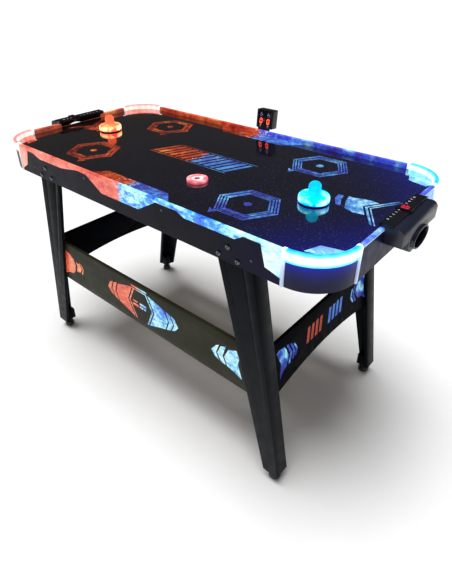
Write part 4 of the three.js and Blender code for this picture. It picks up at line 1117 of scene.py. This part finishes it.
def make_goal_box(end, name):
    out, half, inner = HOOD_OUT, HOOD_HALF, HOOD_HALF - HOOD_WALL
    section, across = along_y(end), along_x(end)
    shell = combined(prism(hood_section(0), -half, half, section), [
        ("UNION", prism(scoop_outline(0), HOOD_IN, out, across)),
        ("UNION", prism(ellipse(0, 796, 46, 29), out - 6, out + 8, across)),
        ("DIFFERENCE", prism(hood_section(HOOD_WALL), -inner, inner, section)),
        ("DIFFERENCE", prism(scoop_outline(HOOD_WALL), HOOD_IN - 1, out - HOOD_WALL, across)),
        ("DIFFERENCE", prism(ellipse(0, 796, 42, 25), out - 8, out + 9, across)),
    ], HOOD_BLACK)
    piece(f"goal_box_{name}", shell, "table", [f"goal_hood_{name}"], (0.9, 3), 40)


def make_score_bar(end, name):
    section = [(671, 846.3), (686.3, 846.3), (686.3, 851.8), (704, 851.8), (704, 856), (703, 857),
               (700.5, 857), (699.7, 856.2), (675.3, 856.2), (674.5, 857), (672, 857), (671, 856)]
    lip = prism(rectangle(-98, 98, 843, 848), 676, 680, along_x(end))
    bar = combined(prism(section, -HOOD_HALF, HOOD_HALF, along_y(end)), [("UNION", lip)], BAR_BLACK)
    turn = Matrix.Rotation(math.radians(90 * end), 4, "Z")
    spots = [Matrix.Translation(at(end * 679, end * (i - 5) * BAR_PITCH, 856.35)) for i in range(11)]
    numbers = [numeral(i, 8.5, 0.4, spot @ turn) for i, spot in enumerate(spots)]
    piece(f"bar_{name}", bar, "table", [f"score_bar_{name}"], (0.5, 2))
    piece(f"bar_numbers_{name}", merged(numbers, PRINT_WHITE), "table")


def make_slider(end, name):
    low, high = box_of(f"score_slider_{name}")
    middle = (low.y + high.y) / 2 - MIDDLE_Y
    section, across = along_y(end, middle), along_x(end, middle)
    lap = 853 if end == ICE else 853.3
    saddle = [(667.7, lap), (670.7, lap), (670.7, 857.3), (704.3, 857.3), (704.3, 852.5), (707.3, 852.5),
              *arc(705.3, 858.3, 2, 0, 90, 5), *arc(669.7, 858.3, 2, 90, 180, 5)]
    pointer = [(679, 859.3), (696, 859.3), (694, 862.5)]
    pointer += arc(690, 862.3, 2, 30, 90, 4) + arc(685, 862.3, 2, 90, 150, 4)
    mesh = combined(prism(saddle, -12, 12, section), [("UNION", prism(pointer, -3, 3, section))], BAR_BLACK)
    look, slot = (SLIDER_RED, "red") if end == ICE else (SLIDER_GREY, "silver")
    body = f"slider_{name}"
    tab = prism(arc(0, 853, 12, 180, 360, 24), 667.7, 670.7, across, [look])
    piece(f"marker_tab_{name}", tab, body, (), (0.5, 3))
    if end == ICE:
        plan = lambda u, v, w: section(u, w, v)
        pad = prism(rounded_rectangle(9.5, 7.5, 2, 6, 687.5), 860, 860.8, plan)
        knob = prism(rounded_rectangle(7, 4, 1.5, 6, 687.5), 860, 864.3, plan)
        piece("marker_pad_ice", merged([pad, knob], SLIDER_RED), body, (), (0.5, 3))
    piece(f"marker_{name}", mesh, body, [f"score_slider_{name}"], (0.5, 3))


for end, name in ENDS:
    make_goal_box(end, name)
    make_score_bar(end, name)
    make_slider(end, name)
    crisp(f"goal_sensor_{name}", SENSOR_BLACK, 0.7)


# ---------------------------------------------------------------- electronic scorer
SCORER_LEAN = math.radians(5)


def on_scorer(u, v, w):
    """u across, v up and w back from the scorer's front face."""
    sine, cosine = math.sin(SCORER_LEAN), math.cos(SCORER_LEAN)
    return at(u, 347.6 + w * cosine + v * sine, 850 - w * sine + v * cosine)


def zero(cu, cv, w=4.5, h=8.5, t=1.35, g=0.35, slant=0.08):
    """A seven-segment nought: its six lit bars. w and h are half sizes, t half a bar, g a gap."""
    shapes = []
    for v in (h, -h):
        a, b = g - w, w - g
        shapes.append([(a, v), (a + t, v + t), (b - t, v + t), (b, v), (b - t, v - t), (a + t, v - t)])
    for u, low, high in ((w, 0, h), (w, -h, 0), (-w, -h, 0), (-w, 0, h)):
        a, b = low + g, high - g
        shapes.append([(u, a), (u + t, a + t), (u + t, b - t), (u, b), (u - t, b - t), (u - t, a + t)])
    return [[(cu + u + slant * v, cv + v) for u, v in shape] for shape in shapes]


def make_scorer():
    cuts = [(rectangle(-32, 32, 4, 64), 4, 28), (rectangle(-30.3, 30.3, 14.7, 63.3), -1, 2.8),
            (rectangle(-25, 25, 23, 57), 0, 5), (rectangle(-8, 8, -1, 5), 21, 26)]
    cuts += [(ellipse(sign * 17, 9.5, 3.8, 3.8, 32), -1, 5) for sign in (1, -1)]
    steps = [("DIFFERENCE", prism(*cut, on_scorer)) for cut in cuts]
    arm = prism(rectangle(-25, 25, 775, 853), 343.3, 351.3, along_y(1))
    outer = [(u, v + 34) for u, v in rounded_rectangle(36, 34, 4)]
    shell = combined(prism(outer, 0, 31, on_scorer), [*steps, ("UNION", arm)], SCORER_BLACK)
    piece("scorer_shell", shell, "table", ["scorer_case"], (0.8, 3))
    pane = prism(rounded_rectangle(30, 24, 1.0, 4, 0, 39), 0.3, 2.5, on_scorer, [WINDOW_TINT])
    piece("scorer_pane", pane, "table", ["scorer_window"], (0.3, 2))
    lit = [prism(shape, 0.05, 0.4, on_scorer) for cu in (-16, 16) for shape in zero(cu, 26)]
    piece("scorer_digits", merged(lit, DIGIT_RED), "table")
    roof = [(-7, 47), (0, 54), (7, 47), (4, 47), (0, 51), (-4, 47)]
    arrow = [(-3, 54), (0, 57), (3, 54), (0, 55)]
    marks = [(cu, shape, 0.1, 0.4) for cu in (-16, 16) for shape in (roof, arrow, rectangle(-5, 5, 43, 44.2))]
    marks += [(cu, rectangle(-4, 4, 3.4, 4.2), -0.05, 0.3) for cu in (-17, 17)]
    printed = [prism([(cu + u, v) for u, v in shape], low, high, on_scorer) for cu, shape, low, high in marks]
    piece("scorer_marks", merged(printed, PRINT_BLUE), "table")
    cap = [(0, -5.5), (5, -5.5), (5, -4.3), (3.5, -4.3), (3.5, 1.3), (3.2, 1.8), (2.4, 2.0), (1.2, 1.85),
           (0, 1.8)]
    for name, cu in (("left", -17), ("right", 17)):
        mesh = lathe(cap, 36, lambda x, y, z: on_scorer(cu + x, 9.5 + y, -z), [BUTTON_GREY])
        piece(f"button_cap_{name}", mesh, f"button_{name}", [f"scorer_button_{name}"])
    spots = [(u, v) for u in (-28, 28) for v in (8, 60)]
    screws = [screw(lambda x, y, z: on_scorer(u + x, v + y, 30.6 + z), 2.4) for u, v in spots]
    piece("scorer_back_screws", merged(screws, ZINC), "table")


make_scorer()


# ---------------------------------------------------------------- air and electrics
BLADE = [(-1, 0), (-0.5, 0.6), (0, 0.8), (0.5, 0.6), (1, 0), (0.5, -0.1), (0, 0.05), (-0.5, -0.1)]
BLADES = 7


def make_impeller():
    """A hub with curved, twisted blades."""
    low, high = [corner.z for corner in box_of("blower_impeller")]
    foot = 764.8
    hub = [(0, foot), (18.4, foot), (19, foot + 1), (19, high - 2), (17.5, high), (0, high)]
    shaft = [(0, low), (2, low), (2, foot + 1), (0, foot + 1)]
    meshes = [lathe(softened(hub), 48, at, [FAN_BLACK]), lathe(shaft, 24, at, [FAN_BLACK])]
    for blade in range(BLADES):
        rings = []
        for share in spread(0, 1, 8):
            tilt = Matrix.Rotation(math.radians(44 - 14 * share), 3, "X")
            place = turned(360 * blade / BLADES + math.degrees(0.1) * share)
            root = Vector((17 + 36.6 * share, 0, (foot + high) / 2))
            rings.append([place(*(root + tilt @ Vector((0, 9.6 * u, 1.6 * t)))) for u, t in BLADE])
        meshes.append(tube(rings, [FAN_BLACK]))
    piece("impeller_blades", merged(meshes, FAN_BLACK), "impeller", ["blower_impeller"])


def make_grille():
    """Round wires on a cross."""
    low, high = [corner.z for corner in box_of("blower_grille")]
    wires = [ellipse(radius + 1.25, low + 1.25, 1.2, 1.2, 10) for radius in (18, 32, 46)]
    meshes = [tube(swept(wire, spread(0, 360, 64)[:-1], at), [FAN_BLACK], closed=True) for wire in wires]
    bar, tab = rounded_rectangle(58, 2, 1.9, 6), rounded_rectangle(2, 5, 1, 5, 58, 0)
    meshes += [prism(bar, low, low + 2.5, turned(angle)) for angle in (0, 90)]
    meshes += [prism(tab, low, high, turned(angle)) for angle in (0, 90, 180, 270)]
    piece("grille_wires", merged(meshes, FAN_BLACK), "table", ["blower_grille"], angle=45)


make_impeller()
make_grille()
crisp("air_chamber_tray", FIBREBOARD, 0.6)
crisp("blower_housing", FAN_BLACK, 0.6)
crisp("control_box", BLACK_PLASTIC, 1.4, 3)
crisp("control_panel", BLACK_PLASTIC, 0.5)
crisp("power_rocker", SLIDER_RED, 0.5, 3)
for end, _, quarter in QUARTERS:
    crisp(f"led_strip_{quarter}", STRIP_LOOKS[end], 0.3)


# ---------------------------------------------------------------- pushers and puck
OUTSIDE = [(42, 4.3), (42, 15), (41.4, 19), (38.5, 22), (34, 23.6), (30, 24), (25, 24.4), (20, 25.6),
           (17.6, 29), (17, 34), (17, 44), (16.2, 49), (13.6, 53.4), (9.5, 56.4), (5, 57.8), (0, 58)]
INSIDE = [(0, 55.5), (9, 52.5), (14.5, 42.5), (14.5, 22), (30, 20), (39.5, 15), (39.5, 4.3)]
PUSHER_BASE = [(0, 0), (40.4, 0), (41, 0.6), (41, 3.4), (40.4, 4), (0, 4)]
PUSHER_LAMP = [(0, 4.3), (24, 4.3), (24, 5.9), (4, 5.9), (4, 8.5), (3.4, 9.9), (2, 10.9), (0, 11.3)]
PUCK_SECTION = [(19.3, 0), (30.6, 0), (31.5, 0.35), (32, 1.2), (32, 7.8), (31.5, 8.65), (30.6, 9),
                (29.4, 8.8), (28.4, 8.2), (22.6, 8.2), (21.6, 8.8), (20.6, 9), (19.6, 8.8), (19.3, 8.4)]


def make_pusher(end, name):
    body, place = f"pusher_{name}", over(f"pusher_base_{name}")
    shell = lathe(INSIDE + softened(OUTSIDE), 96, place, [PUSHER_LOOKS[end]])
    piece(f"pusher_body_{name}", shell, body, [f"pusher_shell_{name}"], angle=50)
    base = lathe(softened(PUSHER_BASE), 72, place, [FELT])
    piece(f"pusher_felt_{name}", base, body, [f"pusher_base_{name}"])
    lamp = lathe(PUSHER_LAMP, 36, place, [LAMP_BOARD])
    piece(f"pusher_light_{name}", lamp, body, [f"pusher_lamp_{name}"])


def wedge(degrees):
    """One of the dark marks round the puck's middle."""
    a = math.radians(degrees)
    spots = ((15, a - 0.25), (15, a + 0.25), (9, a + 0.3), (9, a - 0.3))
    return [(r * math.cos(turn), r * math.sin(turn)) for r, turn in spots]


def make_puck():
    place = over("puck_ring")
    ring = tube(swept(PUCK_SECTION, spread(0, 360, 96)[:-1], place), [PUCK_RING], closed=True)
    piece("puck_outer", ring, "puck", ["puck_ring"], angle=50)
    discs = (17.5, 48, 1), (13, 48, 0), (8, 36, 2)
    regions = [(ellipse(0, 0, r, r, steps), look) for r, steps, look in discs]
    regions += [(wedge(60 * i + 15), 1) for i in range(6)]
    core = slab(ellipse(0, 0, 19, 19, 72), place, 8, 0.5, [PUCK_RING, PUCK_WHITE, PUCK_DARK], (), regions)
    piece("puck_middle", core, "puck", ["puck_core"], (0.25, 2))


for end, name in ENDS:
    make_pusher(end, name)
make_puck()


# ---------------------------------------------------------------- floor and light
def make_floor(reach=30):
    n = Nodes("floor")
    pale = n.finish(
        colour=n.mix(n.patches(3, 4), (0.9, 0.9, 0.9), (0.93, 0.93, 0.93)),
        roughness=n.patches(40, 4, 0.6, 0.8), specular=0.2,
    )
    mesh = bpy.data.meshes.new("floor")
    mesh.from_pydata([(x, y, 0) for x, y in rectangle(-reach, reach, -reach, reach)], [], [(0, 1, 2, 3)])
    linked("floor", painted(mesh, [pale]))


def make_world():
    """White surroundings, which light the scene only a little and hardly show as a mirror image."""
    world = bpy.data.worlds.new("world")
    world.use_nodes = True
    nodes, links = world.node_tree.nodes, world.node_tree.links
    path = nodes.new("ShaderNodeLightPath")
    level = nodes.new("ShaderNodeMapRange")
    level.inputs["To Min"].default_value = 0.14
    level.inputs["To Max"].default_value = 0.04
    links.new(path.outputs["Is Glossy Ray"], level.inputs["Value"])
    background = nodes["Background"]
    background.inputs[0].default_value = (1, 1, 1, 1)
    backdrop = nodes.new("ShaderNodeMath")
    backdrop.operation = "MAXIMUM"
    links.new(level.outputs[0], backdrop.inputs[0])
    links.new(path.outputs["Is Camera Ray"], backdrop.inputs[1])
    links.new(backdrop.outputs[0], background.inputs[1])
    bpy.context.scene.world = world


def add_light(name, kind, power, direction, place, **size):
    """A light that doesn't show as a mirror image."""
    data = bpy.data.lights.new(name, kind)
    data.energy = power
    for key, value in size.items():
        setattr(data, key, value)
    light = linked(name, data)
    light.location = place
    light.rotation_mode = "QUATERNION"
    light.rotation_quaternion = Vector(direction).to_track_quat("-Z", "Y")
    light.visible_glossy = False


make_floor()
make_world()
# The overhead light is very soft, and leaves a broad grey shadow under the table
add_light("overhead", "SUN", 3.45, (0.13, 0.06, -1), (0, 0, 0), angle=math.radians(40))
add_light("fill", "AREA", 8, (-2.6, 2.2, -1.4), (2.6, -2.2, 2.0), size=2.0)
bpy.context.scene.view_settings.view_transform = "Standard"
